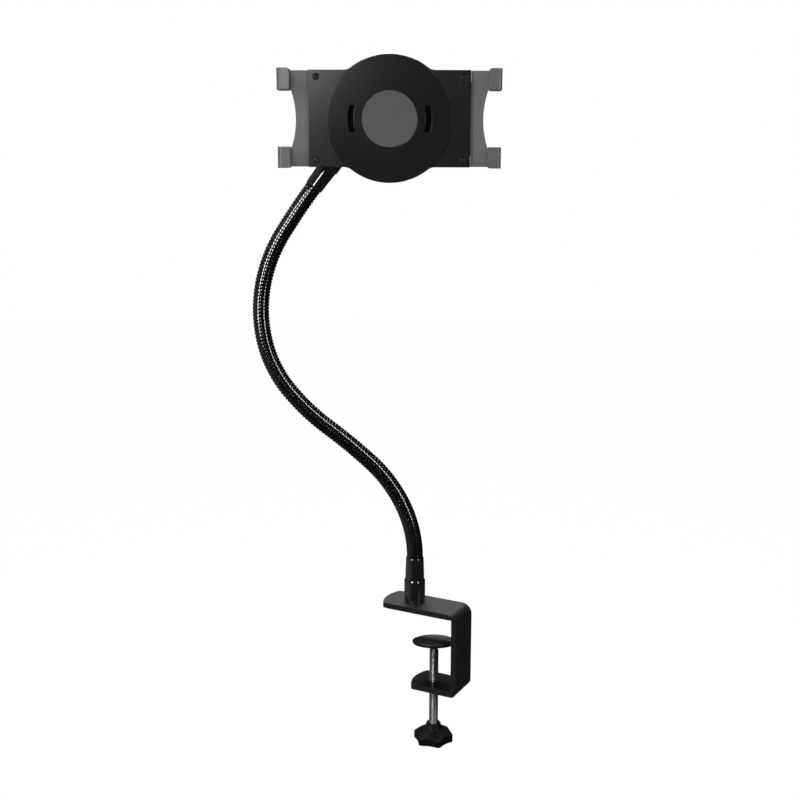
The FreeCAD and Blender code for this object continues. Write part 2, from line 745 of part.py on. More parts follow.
def make_neck(pieces):
    for number, piece in enumerate(pieces, start=1):
        neck = doc.addObject("Part::Feature", f"neck_{number}")
        neck.Shape = neck_piece_shape(piece, number == 1, number == len(pieces))
        keep(neck)


def make_ferrule(label, placement):
    """Sleeve over the neck's end, its stud down into a collar; z = 0 is the face on the collar."""
    bore = "(neck_spigot + seat_gap)"
    return turned_body(label, placement, [
        ("0", "-stud_length"),
        ("stud_radius", "-stud_length"),
        ("stud_radius", "0"),
        ("ferrule_base", "0"),
        ("ferrule_base", "collar_bevel"),
        ("ferrule_tip", "ferrule_height - collar_bevel"),
        ("ferrule_tip - collar_bevel / 2", "ferrule_height"),
        (bore, "ferrule_height"),
        (bore, "ferrule_height - ferrule_grip"),
        ("0", "ferrule_height - ferrule_grip"),
    ])


# Tilting clutch. The arm half stands on the upper ferrule; its local Z runs from the tilt axis
# down to the neck and its local X lies along the tilt axis.

MOUTH = "(pin_reach - ferrule_height - swivel_gap)"


def make_tilt_arm(placement):
    body = new_body("tilt_arm", placement)
    collar = sketch_on(body, "XZ_Plane")
    draw_polygon(collar, [
        ("0", f"{MOUTH} - collar_height"),
        ("collar_radius", f"{MOUTH} - collar_height"),
        ("collar_radius", f"{MOUTH} - collar_bevel"),
        ("collar_radius - collar_bevel", MOUTH),
        ("0", MOUTH),
    ])
    turn(body, collar)
    lug = sketch_on(body, "YZ_Plane")
    draw_circle(lug, "0", "0", "lug_radius")
    pad(body, lug, "lug_thick", midplane=True)
    bar = sketch_on(body, "YZ_Plane")
    draw_rectangle(bar, "-arm_depth / 2", "arm_depth / 2", "0", f"{MOUTH} - collar_height")
    pad(body, bar, "lug_thick", midplane=True)
    stud = sketch_on(body, "XY_Plane", MOUTH)
    draw_circle(stud, "0", "0", "stud_radius + swivel_gap")
    pocket(body, stud, "stud_length + swivel_gap")
    pin = sketch_on(body, "YZ_Plane")
    draw_circle(pin, "0", "0", "pin_radius + seat_gap")
    pocket(body, pin, "lug_thick", midplane=True)
    return body


# The bracket half is fixed to the swivel flange. Its local X lies along the tilt axis, its
# local Y runs to the rear from the holder's rear face, through the swivel axis.

LUG_SIDE = "(-bracket_offset + lug_thick / 2 + clutch_washer + 2 * swivel_gap)"


def make_swivel_bracket(placement):
    body = new_body("swivel_bracket", placement)
    # the plane's normal points forward, so a lift below zero lies behind the rear face
    flange = sketch_on(body, "XZ_Plane", "-flange_gap - flange_thick")
    draw_circle(flange, "0", "0", "flange_radius")
    pad(body, flange, "flange_thick")
    hub = sketch_on(body, "XZ_Plane", "-flange_gap - flange_thick")
    draw_circle(hub, "0", "0", "hub_radius")
    pad(body, hub, "flange_thick + flange_gap + rear_wall + swivel_gap")
    lug = sketch_on(body, "YZ_Plane", LUG_SIDE)
    draw_circle(lug, "pin_standoff", "0", "lug_radius")
    pad(body, lug, "bracket_thick")
    web = sketch_on(body, "YZ_Plane", LUG_SIDE)
    draw_rectangle(web, "flange_gap + flange_thick / 2", "pin_standoff", "-lug_radius", "lug_radius")
    pad(body, web, "bracket_thick")
    pin = sketch_on(body, "YZ_Plane", LUG_SIDE)
    draw_circle(pin, "pin_standoff", "0", "pin_radius + swivel_gap")
    pocket(body, pin, "bracket_thick", forward=True)
    tap = sketch_on(body, "XZ_Plane", "rear_wall + swivel_gap")
    draw_circle(tap, "0", "0", "swivel_screw_radius + seat_gap")
    pocket(body, tap, "rear_wall + flange_thick")
    return body


def make_clutch_pins(pin_frame):
    """Friction washer, bolt and knob round the tilt axis; pin_frame's Z lies along it."""
    inner = "(lug_thick / 2 + swivel_gap)"
    keep(turned_body("tilt_washer", pin_frame, [
        ("pin_radius + swivel_gap", inner),
        ("clutch_washer_radius", inner),
        ("clutch_washer_radius", f"{inner} + clutch_washer"),
        ("pin_radius + swivel_gap", f"{inner} + clutch_washer"),
    ]))
    tip = "(lug_thick / 2 + clutch_washer + bracket_thick + tilt_knob_hub + tilt_knob_height)"
    keep(turned_body("tilt_bolt", pin_frame, [
        ("0", "-lug_thick / 2 - bolt_head_height"),
        ("bolt_head_radius - collar_bevel", "-lug_thick / 2 - bolt_head_height"),
        ("bolt_head_radius", "-lug_thick / 2 - bolt_head_height + collar_bevel"),
        ("bolt_head_radius", "-lug_thick / 2"),
        ("pin_radius", "-lug_thick / 2"),
        ("pin_radius", tip),
        ("0", tip),
    ]))
    seat = "lug_thick / 2 + clutch_washer + bracket_thick + 3 * swivel_gap + tilt_knob_hub"
    # the knob's cone faces the bracket, so its Z axis points back along the bolt
    knob_frame = pin_frame.multiply(Placement(Vector(0, 0, value(seat)), Rotation(X_AXIS, 180)))
    keep(make_knob(
        "tilt_knob", knob_frame, "tilt_knob_lobes", "tilt_knob_waist", "tilt_knob_height",
        "tilt_knob_hub", "pin_radius + swivel_gap", "tilt_knob_hub + tilt_knob_height",
    ))


def make_swivel_fixings(placement):
    """Washer and screw inside the holder, on the end of the hub; heights run forward."""
    hub_end = "(rear_wall + swivel_gap)"
    face = f"({hub_end} + swivel_washer_thick)"
    forward = placement.multiply(Placement(Vector(0, 0, 0), Rotation(X_AXIS, 90)))
    keep(turned_body("swivel_washer", forward, [
        ("swivel_screw_radius + seat_gap", hub_end),
        ("swivel_washer_radius", hub_end),
        ("swivel_washer_radius", face),
        ("swivel_screw_radius + seat_gap", face),
    ]))
    keep(turned_body("swivel_screw", forward, [
        ("0", f"{face} + swivel_screw_head_height"),
        ("swivel_screw_head", f"{face} + swivel_screw_head_height"),
        ("swivel_screw_head", face),
        ("swivel_screw_radius", face),
        ("swivel_screw_radius", "0"),
        ("0", "0"),
    ]))


# Holder. Sketches on its upright plane face forward: a lift is a depth from the rear face.

HALF_WIDTH = "(body_width / 2)"
HALF_HEIGHT = "(body_height / 2)"
ARM_FRONT = "(body_depth - front_wall - arm_play)"
ARM_REAR = f"({ARM_FRONT} - arm_thick)"
CORNERS = [(side, up) for side in (-1, 1) for up in (-1, 1)]


def pad_outline(body, low, length):
    """The body's outline: a plate with a disc over its middle and fillets between."""
    plate = sketch_on(body, "XZ_Plane", low)
    draw_rectangle(plate, f"-{HALF_WIDTH}", HALF_WIDTH, f"-{HALF_HEIGHT}", HALF_HEIGHT)
    pad(body, plate, length)
    disc = sketch_on(body, "XZ_Plane", low)
    draw_circle(disc, "0", "0", "disc_radius")
    pad(body, disc, length)
    meet = math.sqrt(value("disc_radius") ** 2 - value(HALF_HEIGHT) ** 2)
    high = value(HALF_HEIGHT)
    inner_corners = local_edges(
        body,
        lambda edge, at, along: near(abs(along.y), 1) and near(abs(at.x), meet) and near(abs(at.z), high),
    )
    dress(body, "Fillet", inner_corners, Radius="outline_fillet")


def hollow_out(body, low, depth, reach):
    """Clears the inside of a cover between two depths, open or closed at the body's ends."""
    room = sketch_on(body, "XZ_Plane", low)
    draw_rectangle(
        room, f"-{reach}", reach, f"-{HALF_HEIGHT} + side_wall", f"{HALF_HEIGHT} - side_wall"
    )
    pocket(body, room, depth, forward=True)
    bulge = sketch_on(body, "XZ_Plane", low)
    draw_circle(bulge, "0", "0", "disc_radius - side_wall")
    pocket(body, bulge, depth, forward=True)


def make_front_cover(placement):
    body = new_body("front_cover", placement)
    pad_outline(body, "body_split", "body_depth - body_split")
    face = sketch_on(body, "XZ_Plane", "body_depth")
    draw_circle(face, "0", "0", "disc_radius")
    pad(body, face, "disc_raise")
    rim_at = -value("body_depth + disc_raise")
    rim = local_edges(body, lambda edge, at, along: near(at.y, rim_at))
    dress(body, "Chamfer", rim, Size="disc_bevel")
    hollow_out(body, "body_split", "body_depth - body_split - front_wall", HALF_WIDTH)

    axle = sketch_on(body, "XZ_Plane", ARM_REAR)
    draw_circle(axle, "0", "0", "gear_axle")
    pad(body, axle, f"body_depth - {ARM_REAR}")
    recess = sketch_on(body, "XZ_Plane", "body_depth + disc_raise")
    draw_circle(recess, "0", "0", "centre_pad_radius + seat_gap")
    pocket(body, recess, "centre_pad_sink")
    for side in (-1, 1):
        cut_grip_slot(body, side)
    for side, up in CORNERS:
        sink = sketch_on(body, "XZ_Plane", "body_depth")
        draw_circle(sink, f"{side} * cover_screw_x", f"{up} * cover_screw_z", "cover_screw_sink")
        pocket(body, sink, "cover_screw_seat")
        hole = sketch_on(body, "XZ_Plane", "body_depth")
        shank = "cover_screw_shank + swivel_gap"
        draw_circle(hole, f"{side} * cover_screw_x", f"{up} * cover_screw_z", shank)
        pocket(body, hole, "front_wall")
    return body


def cut_grip_slot(body, side):
    """A curved recess round the centre, with level ends."""
    slot = sketch_on(body, "XZ_Plane", "body_depth + disc_raise")
    half = value("grip_slot_half")
    ends = []
    arcs = []
    for shift in ("-", "+"):
        text = f"grip_slot_radius {shift} grip_slot_width / 2"
        radius = value(text)
        rise = math.asin(half / radius)
        first, last = (-rise, rise) if side > 0 else (math.pi - rise, math.pi + rise)
        arc = slot.addGeometry(Part.ArcOfCircle(Part.Circle(Vector(0, 0, 0), Z_AXIS, radius), first, last))
        arcs.append(arc)
        slot.addConstraint(Sketcher.Constraint("Coincident", arc, 3, -1, 1))
        hold(slot, "Radius", (arc,), text)
        for end in (1, 2):
            sign = "-" if (end == 1) == (side > 0) else ""
            hold(slot, "DistanceY", (-1, 1, arc, end), f"{sign}grip_slot_half")
            angle = first if end == 1 else last
            ends.append(Vector(radius * math.cos(angle), radius * math.sin(angle), 0))
    for end in (1, 2):
        line = slot.addGeometry(Part.LineSegment(ends[end - 1], ends[end + 1]))
        slot.addConstraint(Sketcher.Constraint("Coincident", line, 1, arcs[0], end))
        slot.addConstraint(Sketcher.Constraint("Coincident", line, 2, arcs[1], end))
    pocket(body, slot, "grip_slot_deep")


def make_rear_cover(placement):
    body = new_body("rear_cover", placement)
    pad_outline(body, "0", "body_split")
    hollow_out(body, "rear_wall", "body_split - rear_wall", f"{HALF_WIDTH} - side_wall")
    for side in (-1, 1):
        end_wall = sketch_on(body, "XZ_Plane", "0")
        inner = f"{side} * ({HALF_WIDTH} - side_wall)"
        outer = f"{side} * {HALF_WIDTH}"
        left, right = (inner, outer) if side > 0 else (outer, inner)
        half = f"({HALF_HEIGHT} - side_wall - seat_gap)"
        draw_rectangle(end_wall, left, right, f"-{half}", half)
        pad(body, end_wall, f"{ARM_REAR} - swivel_gap * 3")
        for up in (-1, 1):
            rail = sketch_on(body, "XZ_Plane", "rear_wall / 2")
            near_end = f"{side} * (swivel_washer_radius + side_wall)"
            far_end = f"{side} * ({HALF_WIDTH} - side_wall / 2)"
            left, right = (near_end, far_end) if side > 0 else (far_end, near_end)
            low = f"{up} * (tongue_half - side_wall) - side_wall / 2"
            high = f"{up} * (tongue_half - side_wall) + side_wall / 2"
            draw_rectangle(rail, left, right, low, high)
            pad(body, rail, f"{ARM_REAR} - swivel_gap * 3 - rear_wall / 2")
    for side, up in CORNERS:
        spot = (f"{side} * cover_screw_x", f"{up} * cover_screw_z")
        post = sketch_on(body, "XZ_Plane", "rear_wall / 2")
        draw_circle(post, *spot, "post_radius")
        pad(body, post, "body_depth - front_wall - rear_wall / 2")
        pilot = sketch_on(body, "XZ_Plane", "body_depth - front_wall")
        draw_circle(pilot, *spot, "cover_screw_shank + seat_gap")
        pocket(body, pilot, "cover_screw_length")
    for side in (-1, 1):
        peg = sketch_on(body, "XZ_Plane", "rear_wall / 2")
        draw_circle(peg, f"{side} * spring_peg_x", f"{side} * spring_height", "peg_spring_radius")
        pad(body, peg, f"{ARM_FRONT} - rear_wall / 2")
    hub = sketch_on(body, "XZ_Plane", "rear_wall")
    draw_circle(hub, "0", "0", "hub_radius + swivel_gap")
    pocket(body, hub, "rear_wall")
    return body


def make_cover_screws(placement):
    """Four screws from the front, one node."""
    screws = []
    seat = "(body_depth - cover_screw_seat)"
    rods = [
        ("shank", f"{seat} - cover_screw_length", "cover_screw_length", "cover_screw_shank"),
        ("head", seat, "cover_screw_seat - swivel_gap", "cover_screw_head"),
    ]
    for side, up in CORNERS:
        at = Vector(side * value("cover_screw_x"), 0, up * value("cover_screw_z"))
        parts = []
        for word, depth, height, radius in rods:
            rod = bind(doc.addObject("Part::Cylinder", f"cover_screw_{word}"), Radius=radius, Height=height)
            spot = at + Vector(0, -value(depth), 0)
            rod.Placement = placement.multiply(Placement(spot, Rotation(X_AXIS, 90)))
            parts.append(rod)
        screw = doc.addObject("Part::Fuse", "cover_screw")
        screw.Base, screw.Tool = parts
        screws.append(screw)
    group = doc.addObject("Part::Compound", "cover_screws")
    group.Links = screws
    return group


# Arms. The left one is drawn; the right one is the same piece turned half round the swivel axis.

STRIP_FOOT = "(gear_pitch_radius + gear_dedendum)"
STRIP_TOP = f"({STRIP_FOOT} + rack_back)"
RACK_END = "(arm_travel + rack_spare)"
TOOTH_SLOPE = "tan(20 deg)"


def draw_arm_outline(sketch):
    """The arm outside the body: full height, with a hollow edge between its two fingers."""
    near_edge = f"-({HALF_WIDTH} + slot_play)"
    tip = "-(hook_outer - hook_wall - seat_gap)"
    half = "(arm_height / 2)"
    corners = [
        ("-finger_root", "-finger_inner"),
        (tip, "-finger_inner"),
        (tip, f"-{half}"),
        (near_edge, f"-{half}"),
        (near_edge, half),
        (tip, half),
        (tip, "finger_inner"),
        ("-finger_root", "finger_inner"),
    ]
    spots = [Vector(value(across), value(up), 0) for across, up in corners]
    lines = [
        sketch.addGeometry(Part.LineSegment(first, last)) for first, last in zip(spots, spots[1:])
    ]
    for line, following in zip(lines, lines[1:]):
        sketch.addConstraint(Sketcher.Constraint("Coincident", line, 2, following, 1))
    for line, (across, up) in zip(lines, corners):
        hold_point(sketch, line, 1, across, up)
    hold_point(sketch, lines[-1], 2, *corners[-1])
    sagitta = "(finger_root - hollow_reach)"
    round_rule = f"(finger_inner ^ 2 + {sagitta} ^ 2) / (2 * {sagitta})"
    radius = value(round_rule)
    rise = math.asin(value("finger_inner") / radius)
    circle = Part.Circle(Vector(-value("hollow_reach") - radius, 0, 0), Z_AXIS, radius)
    arc = sketch.addGeometry(Part.ArcOfCircle(circle, -rise, rise))
    sketch.addConstraint(Sketcher.Constraint("Coincident", arc, 1, lines[0], 1))
    sketch.addConstraint(Sketcher.Constraint("Coincident", arc, 2, lines[-1], 2))
    hold(sketch, "Radius", (arc,), round_rule)


def make_arm(label, placement):
    body = new_body(label, placement)
    outside = sketch_on(body, "XZ_Plane", ARM_REAR)
    draw_arm_outline(outside)
    pad(body, outside, "arm_thick")
    tongue = sketch_on(body, "XZ_Plane", ARM_REAR)
    draw_rectangle(tongue, f"-({HALF_WIDTH} + slot_play)", "-tongue_end", "-tongue_half", "tongue_half")
    pad(body, tongue, "arm_thick")
    strip = sketch_on(body, "XZ_Plane", ARM_REAR)
    draw_rectangle(strip, "-tongue_end", RACK_END, STRIP_FOOT, STRIP_TOP)
    pad(body, strip, "arm_thick")

    other_rack = sketch_on(body, "XZ_Plane", ARM_FRONT)
    tooth_tip = "(gear_pitch_radius - gear_addendum)"
    draw_rectangle(
        other_rack, f"-{RACK_END} - slot_play", "-tongue_end",
        f"-{STRIP_TOP} - slot_play", f"-{tooth_tip} + slot_play",
    )
    pocket(body, other_rack, "arm_thick")
    spring = sketch_on(body, "XZ_Plane", ARM_FRONT)
    room = "(spring_radius + slot_play)"
    draw_rectangle(
        spring, "-spring_slot_end", "-tongue_end", f"spring_height - {room}", f"spring_height + {room}"
    )
    pocket(body, spring, "arm_thick")
    add_rack_teeth(body)
    return body


def tooth_halves():
    """Half widths of a tooth at its tip and root, as formulas."""
    pitch_half = "((pi * gear_pitch_radius / gear_teeth - gear_backlash) / 2)"
    return tuple(
        f"({pitch_half} {shift} * {TOOTH_SLOPE})" for shift in ("- gear_addendum", "+ gear_dedendum")
    )


def add_rack_teeth(body):
    """Teeth under the strip. One stands over the centre, where the pinion has a gap."""
    tip_half, root_half = tooth_halves()
    gear_pitch = "(2 * pi * gear_pitch_radius / gear_teeth)"
    before = math.floor((value("tongue_end") - value(root_half)) / value(gear_pitch))
    after = math.floor((value(RACK_END) - value(root_half)) / value(gear_pitch))
    start = f"-{before} * {gear_pitch}"
    tooth = sketch_on(body, "XZ_Plane", ARM_REAR)
    tip_at = "gear_pitch_radius - gear_addendum"
    draw_polygon(tooth, [
        (f"{start} - {root_half}", f"{STRIP_FOOT} + slot_play"),
        (f"{start} - {root_half}", STRIP_FOOT),
        (f"{start} - {tip_half}", tip_at),
        (f"{start} + {tip_half}", tip_at),
        (f"{start} + {root_half}", STRIP_FOOT),
        (f"{start} + {root_half}", f"{STRIP_FOOT} + slot_play"),
    ])
    first = pad(body, tooth, "arm_thick")
    row = body.newObject("PartDesign::LinearPattern", f"{body.Label}_teeth")
    row.Originals = [first]
    row.Direction = (tooth, ["H_Axis"])
    row.Occurrences = before + after + 1
    bind(row, Length=f"{before + after} * {gear_pitch}")
    body.Tip = row
    doc.recompute()


def make_pinion(placement):
    body = new_body("pinion", placement)
    blank = sketch_on(body, "XZ_Plane", ARM_REAR)
    draw_circle(blank, "0", "0", "gear_pitch_radius + gear_addendum")
    pad(body, blank, "arm_thick")
    half = "((pi * gear_pitch_radius / gear_teeth + gear_backlash) / 2)"
    gap = sketch_on(body, "XZ_Plane", ARM_FRONT)
    above = "(gear_addendum + gear_backlash)"
    floor_half = f"({half} - gear_dedendum * {TOOTH_SLOPE})"
    mouth_half = f"({half} + {above} * {TOOTH_SLOPE})"
    draw_polygon(gap, [
        (f"-{floor_half}", "gear_pitch_radius - gear_dedendum"),
        (floor_half, "gear_pitch_radius - gear_dedendum"),
        (mouth_half, f"gear_pitch_radius + {above}"),
        (f"-{mouth_half}", f"gear_pitch_radius + {above}"),
    ])
    cut = pocket(body, gap, "arm_thick")
    polar(body, cut, gap, "gear_teeth")
    bore = sketch_on(body, "XZ_Plane", ARM_FRONT)
    draw_circle(bore, "0", "0", "gear_axle + swivel_gap")
    pocket(body, bore, "arm_thick")
    return body


def make_hook(name, placement, up):
    """A hook over one finger of the left arm: sleeve, side wall and lip in one piece."""
    body = new_body(name, placement)
    far_end = "(arm_height / 2 + hook_overhang)"
    section = sketch_on(body, "XY_Plane", f"{far_end} - hook_height" if up > 0 else f"-{far_end}")
    inner_face = "(body_depth + disc_raise + tablet_room)"
    sleeve_end = "-(hook_outer - hook_wall - hook_grasp)"
    draw_polygon(section, [
        ("-hook_outer", f"-({ARM_REAR} - hook_sleeve)"),
        ("-hook_outer", f"-({inner_face} + hook_lip_thick)"),
        ("-(hook_outer - hook_lip)", f"-({inner_face} + hook_lip_thick)"),
        ("-(hook_outer - hook_lip)", f"-{inner_face}"),
        ("-(hook_outer - hook_wall)", f"-{inner_face}"),
        ("-(hook_outer - hook_wall)", f"-({ARM_FRONT} + hook_sleeve)"),
        (sleeve_end, f"-({ARM_FRONT} + hook_sleeve)"),
        (sleeve_end, f"-({ARM_REAR} - hook_sleeve)"),
    ])
    pad(body, section, "hook_height")
    outer, front = -value("hook_outer"), -value(f"{inner_face} + hook_lip_thick")
    tip = -value("hook_outer - hook_lip")
    front_edge = local_edges(
        body, lambda edge, at, along: near(abs(along.z), 1) and near(at.x, outer) and near(at.y, front)
    )
    dress(body, "Fillet", front_edge, Radius="hook_round")
    lip_ends = local_edges(
        body, lambda edge, at, along: near(abs(along.y), 1) and near(at.x, tip)
    )
    dress(body, "Fillet", lip_ends, Radius="hook_corner")

    finger = sketch_on(body, "XZ_Plane", f"{ARM_FRONT} + seat_gap")
    edges = ["finger_inner - seat_gap", "arm_height / 2 + seat_gap"]
    lower, upper = edges if up > 0 else [f"-({edges[1]})", f"-({edges[0]})"]
    draw_rectangle(finger, "-(hook_outer - hook_wall)", f"{sleeve_end} + cut_past", lower, upper)
    pocket(body, finger, "arm_thick + 2 * seat_gap")
    return body


def make_hooks(side, placement):
    """Both hooks of one arm, one node."""
    hooks = [make_hook(f"{side}_hook_{word}", placement, up) for word, up in (("upper", 1), ("lower", -1))]
    group = doc.addObject("Part::Compound", f"{side}_hooks")
    group.Links = hooks
    return group


def make_spring(label, placement):
    """Return spring of the left arm, drawn as the plain tube that its turns fill."""
    length = "(spring_slot_end + spring_peg_x - peg_spring_radius - 2 * swivel_gap)"
    parts = []
    for word, radius in (("tube", "spring_radius"), ("bore", "spring_radius - spring_wire")):
        rod = bind(doc.addObject("Part::Cylinder", f"{label}_{word}"), Radius=radius, Height=length)
        depth = value(f"{ARM_REAR} + arm_thick / 2")
        start = Vector(-value("spring_slot_end") + value("swivel_gap"), -depth, value("spring_height"))
        rod.Placement = placement.multiply(Placement(start, Rotation(Y_AXIS, 90)))
        parts.append(rod)
    spring = doc.addObject("Part::Cut", label)
    spring.Base, spring.Tool = parts
    return spring


# Assembly

keep(make_clamp_frame())
keep(make_jaw_pad())
keep(make_post_collar())
keep(make_collar_screw())
make_foot()
keep(make_clamp_screw())
knob_frame = SCREW_AXIS.multiply(Placement(
    Vector(0, 0, value(f"{KNOB_TOP} - knob_hub_height")), Rotation(Z_AXIS, value("knob_turn"))
))
keep(make_knob(
    "clamp_knob", knob_frame, "knob_lobes", "knob_waist", "knob_lobe_height",
    "knob_hub_height", "screw_radius + seat_gap", "knob_grip",
))

pieces = neck_pieces()
neck_end, up_neck = pieces[-1].end, pieces[-1].after
tilt_axis = Vector(up_neck.z, 0, -up_neck.x).normalize()
ferrule_foot = Vector(0, 0, value(NECK_FOOT) - value("ferrule_height"))
keep(make_ferrule("lower_ferrule", Placement(ferrule_foot, Rotation())))
make_neck(pieces)
ferrule_head = neck_end + up_neck * value("ferrule_height")
keep(make_ferrule("upper_ferrule", frame(ferrule_head, tilt_axis, -up_neck)))

pin_at = neck_end + up_neck * value("pin_reach")
arm_frame = frame(pin_at, tilt_axis, -up_neck)
keep(make_tilt_arm(arm_frame))
swivel_at = pin_at + tilt_axis * value("bracket_offset") - Y_AXIS * value("pin_standoff")
bracket_frame = frame(swivel_at, tilt_axis, tilt_axis.cross(Y_AXIS))
keep(make_swivel_bracket(bracket_frame))
make_clutch_pins(frame(pin_at, Y_AXIS, tilt_axis))
make_swivel_fixings(bracket_frame)

HOLDER = Placement(swivel_at, Rotation())
MIRRORED = HOLDER.multiply(Placement(Vector(0, 0, 0), Rotation(Y_AXIS, 180)))
keep(make_front_cover(HOLDER))
keep(make_rear_cover(HOLDER))
keep(make_cover_screws(HOLDER))
centre_pad = keep(bind(
    doc.addObject("Part::Cylinder", "centre_pad"),
    Radius="centre_pad_radius",
    Height="centre_pad_thick",
))
pad_seat = Vector(0, -value("body_depth + disc_raise - centre_pad_sink"), 0)
centre_pad.Placement = HOLDER.multiply(Placement(pad_seat, Rotation(X_AXIS, 90)))
for side, place in (("left", HOLDER), ("right", MIRRORED)):
    keep(make_arm(f"{side}_arm", place))
    keep(make_hooks(side, place))
    keep(make_spring(f"{side}_spring", place))
keep(make_pinion(HOLDER))

doc.recompute()
for thing in doc.Objects:
    if {"Invalid", "Error"} & set(thing.State):
        raise RuntimeError(f"{thing.Label} failed: {thing.State}")
for node in NODES:
    if node.Shape.isNull() or not node.Shape.isValid():
        raise RuntimeError(f"{node.Label} has no valid shape")

os.makedirs("parts", exist_ok=True)
for node in NODES:
    node.Shape.exportStep(f"parts/{node.Label}.step")
    print(f"{node.Label}: {len(node.Shape.Solids)} solid(s), {node.Shape.Volume / 1000:.2f} cm3")
ribs = int(value("ribs_per_piece")) * len(pieces)
print(f"neck: {len(pieces)} pieces, {ribs} ribs, {value('neck_piece') * len(pieces):.1f} mm")
print(f"swivel axis at {swivel_at}, tilt axis {tilt_axis} through {pin_at}")
for number, piece in enumerate(pieces, start=1):
    print(f"neck piece {number}: ends {piece.end}, direction {piece.after}, bend axis {piece.normal}")
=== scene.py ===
"""Looks of a clamp-on tablet stand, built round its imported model. Metres and degrees throughout."""

import json
import math

import bmesh
import bpy
from mathutils import Matrix, Vector


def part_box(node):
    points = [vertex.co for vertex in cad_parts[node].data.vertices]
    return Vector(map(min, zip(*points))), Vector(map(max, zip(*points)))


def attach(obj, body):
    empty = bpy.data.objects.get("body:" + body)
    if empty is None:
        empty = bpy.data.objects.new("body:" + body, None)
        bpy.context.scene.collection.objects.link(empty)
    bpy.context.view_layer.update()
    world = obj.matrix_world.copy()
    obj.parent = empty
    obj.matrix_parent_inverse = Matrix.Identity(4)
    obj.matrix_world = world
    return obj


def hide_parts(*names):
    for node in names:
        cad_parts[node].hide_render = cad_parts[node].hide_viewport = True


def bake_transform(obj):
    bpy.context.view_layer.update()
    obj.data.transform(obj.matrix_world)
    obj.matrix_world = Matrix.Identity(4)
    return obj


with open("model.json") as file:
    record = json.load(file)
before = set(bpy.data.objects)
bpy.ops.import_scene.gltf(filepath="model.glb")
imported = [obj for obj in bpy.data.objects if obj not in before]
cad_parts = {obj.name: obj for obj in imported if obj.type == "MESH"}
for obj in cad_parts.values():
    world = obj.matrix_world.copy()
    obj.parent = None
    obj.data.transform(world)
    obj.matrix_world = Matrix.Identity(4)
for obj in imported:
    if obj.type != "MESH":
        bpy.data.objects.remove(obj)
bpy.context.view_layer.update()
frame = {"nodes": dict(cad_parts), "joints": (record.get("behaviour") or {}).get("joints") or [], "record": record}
NODES = frame["nodes"]
SLOTS = {part["node"]: part["material_slot"] for part in frame["record"]["subparts"]}
BODIES = {
    node: body for body, nodes in frame["record"]["behaviour"]["bodies"].items() for node in nodes
}
MM = 0.001

# Camera, as fitted to the photograph
CAMERA_AT = Vector((-0.0133, -0.9918, 0.39445))
CAMERA_PITCH = -11.9
CAMERA_ROLL = 0.16
CAMERA_LENS = 54
CAMERA_SENSOR = 36
CAMERA_CLIP = 0.01

# Studio. The ambient light fades from left to right, and reflections see a glow on the left.
AIM = Vector((-0.03, 0.0, 0.3))
FLOOR_Z = -0.32
FLOOR_SIZE = 8
FLOOR_WHITE = 0.82
FLOOR_GLOW = 0.99
AMBIENT_LEFT = 0.6
AMBIENT_RIGHT = 0.04
AMBIENT_REACH = 0.8
DIM_ROOM = 0.025
LEFT_GLOW = 0.17
GLOW_STARTS = -0.5
GLOW_FULL = -0.8
LAMPS = (
    # name, azimuth and elevation from AIM, distance, width, height, radiance
    ("strip_left", -39, 24, 1.5, 0.12, 1.5, 24),
    ("strip_right", 47, 24, 1.5, 0.12, 1.5, 15),
    ("corner_glint", -10.5, 14.5, 1.5, 0.22, 0.28, 13),
    ("high_left", -50, 63, 1.5, 0.22, 0.22, 22),
    ("high_right", 71, 59, 1.5, 0.22, 0.22, 22),
    ("overhead", 180, 60, 1.3, 0.8, 0.6, 22),
)

# Finishes
BEVEL_SAMPLES = 6
CLOUD_SCALE = 28.0
NOISE_LOW = 0.3
NOISE_HIGH = 0.7
RUBBED_FROM = 0.99
RUBBED_FULL = 0.8
POLISH_SWING = 0.05
LEAST_ROUGHNESS = 0.02
COAT_ROUGHNESS = 0.08
FINE_STRENGTH = 0.7
# near-black matte that paints the shade on the cover's recess floors
SHADE_PAINT_BLACK = (0.002, 0.002, 0.002, 1)
# the jaw's top, from just under the desk line up, on faces that look upward
DESK_LINE = -0.0003
UPWARD_FROM = 0.6
UPWARD_FULL = 0.95
JAW_DULLER = 0.3
# the cover: its disc's radius, how far out the recesses lie and how deep their floors begin, from where shade is
# painted on them
DISC_RADIUS = 0.0512
BESIDE_DISC_DULLER = 0.07
SLOTS_WITHIN = 0.04
SLOT_FLOOR = 0.0012


def make_camera():
    """The camera, with a square picture."""
    data = bpy.data.cameras.new("camera")
    data.lens = CAMERA_LENS
    data.sensor_width = CAMERA_SENSOR
    data.clip_start = CAMERA_CLIP
    camera = bpy.data.objects.new("camera", data)
    pitch = Matrix.Rotation(math.radians(90 + CAMERA_PITCH), 4, "X")
    roll = Matrix.Rotation(math.radians(CAMERA_ROLL), 4, "Z")
    camera.matrix_world = Matrix.Translation(CAMERA_AT) @ pitch @ roll
    bpy.context.scene.collection.objects.link(camera)
    bpy.context.scene.camera = camera


def softbox(name, azimuth, elevation, distance, width, height, radiance):
    """An area light aimed at the stand. Azimuth 0 is the camera's side, positive to its right."""
    across, up = math.radians(azimuth), math.radians(elevation)
    toward = Vector((
        math.sin(across) * math.cos(up),
        -math.cos(across) * math.cos(up),
        math.sin(up),
    ))
    data = bpy.data.lights.new(name, "AREA")
    data.shape = "RECTANGLE"
    data.size = width
    data.size_y = height
    data.energy = radiance * width * height * math.pi
    light = bpy.data.objects.new(name, data)
    turn = toward.to_track_quat("Z", "Y").to_matrix().to_4x4()
    light.matrix_world = Matrix.Translation(AIM + toward * distance) @ turn
    bpy.context.scene.collection.objects.link(light)


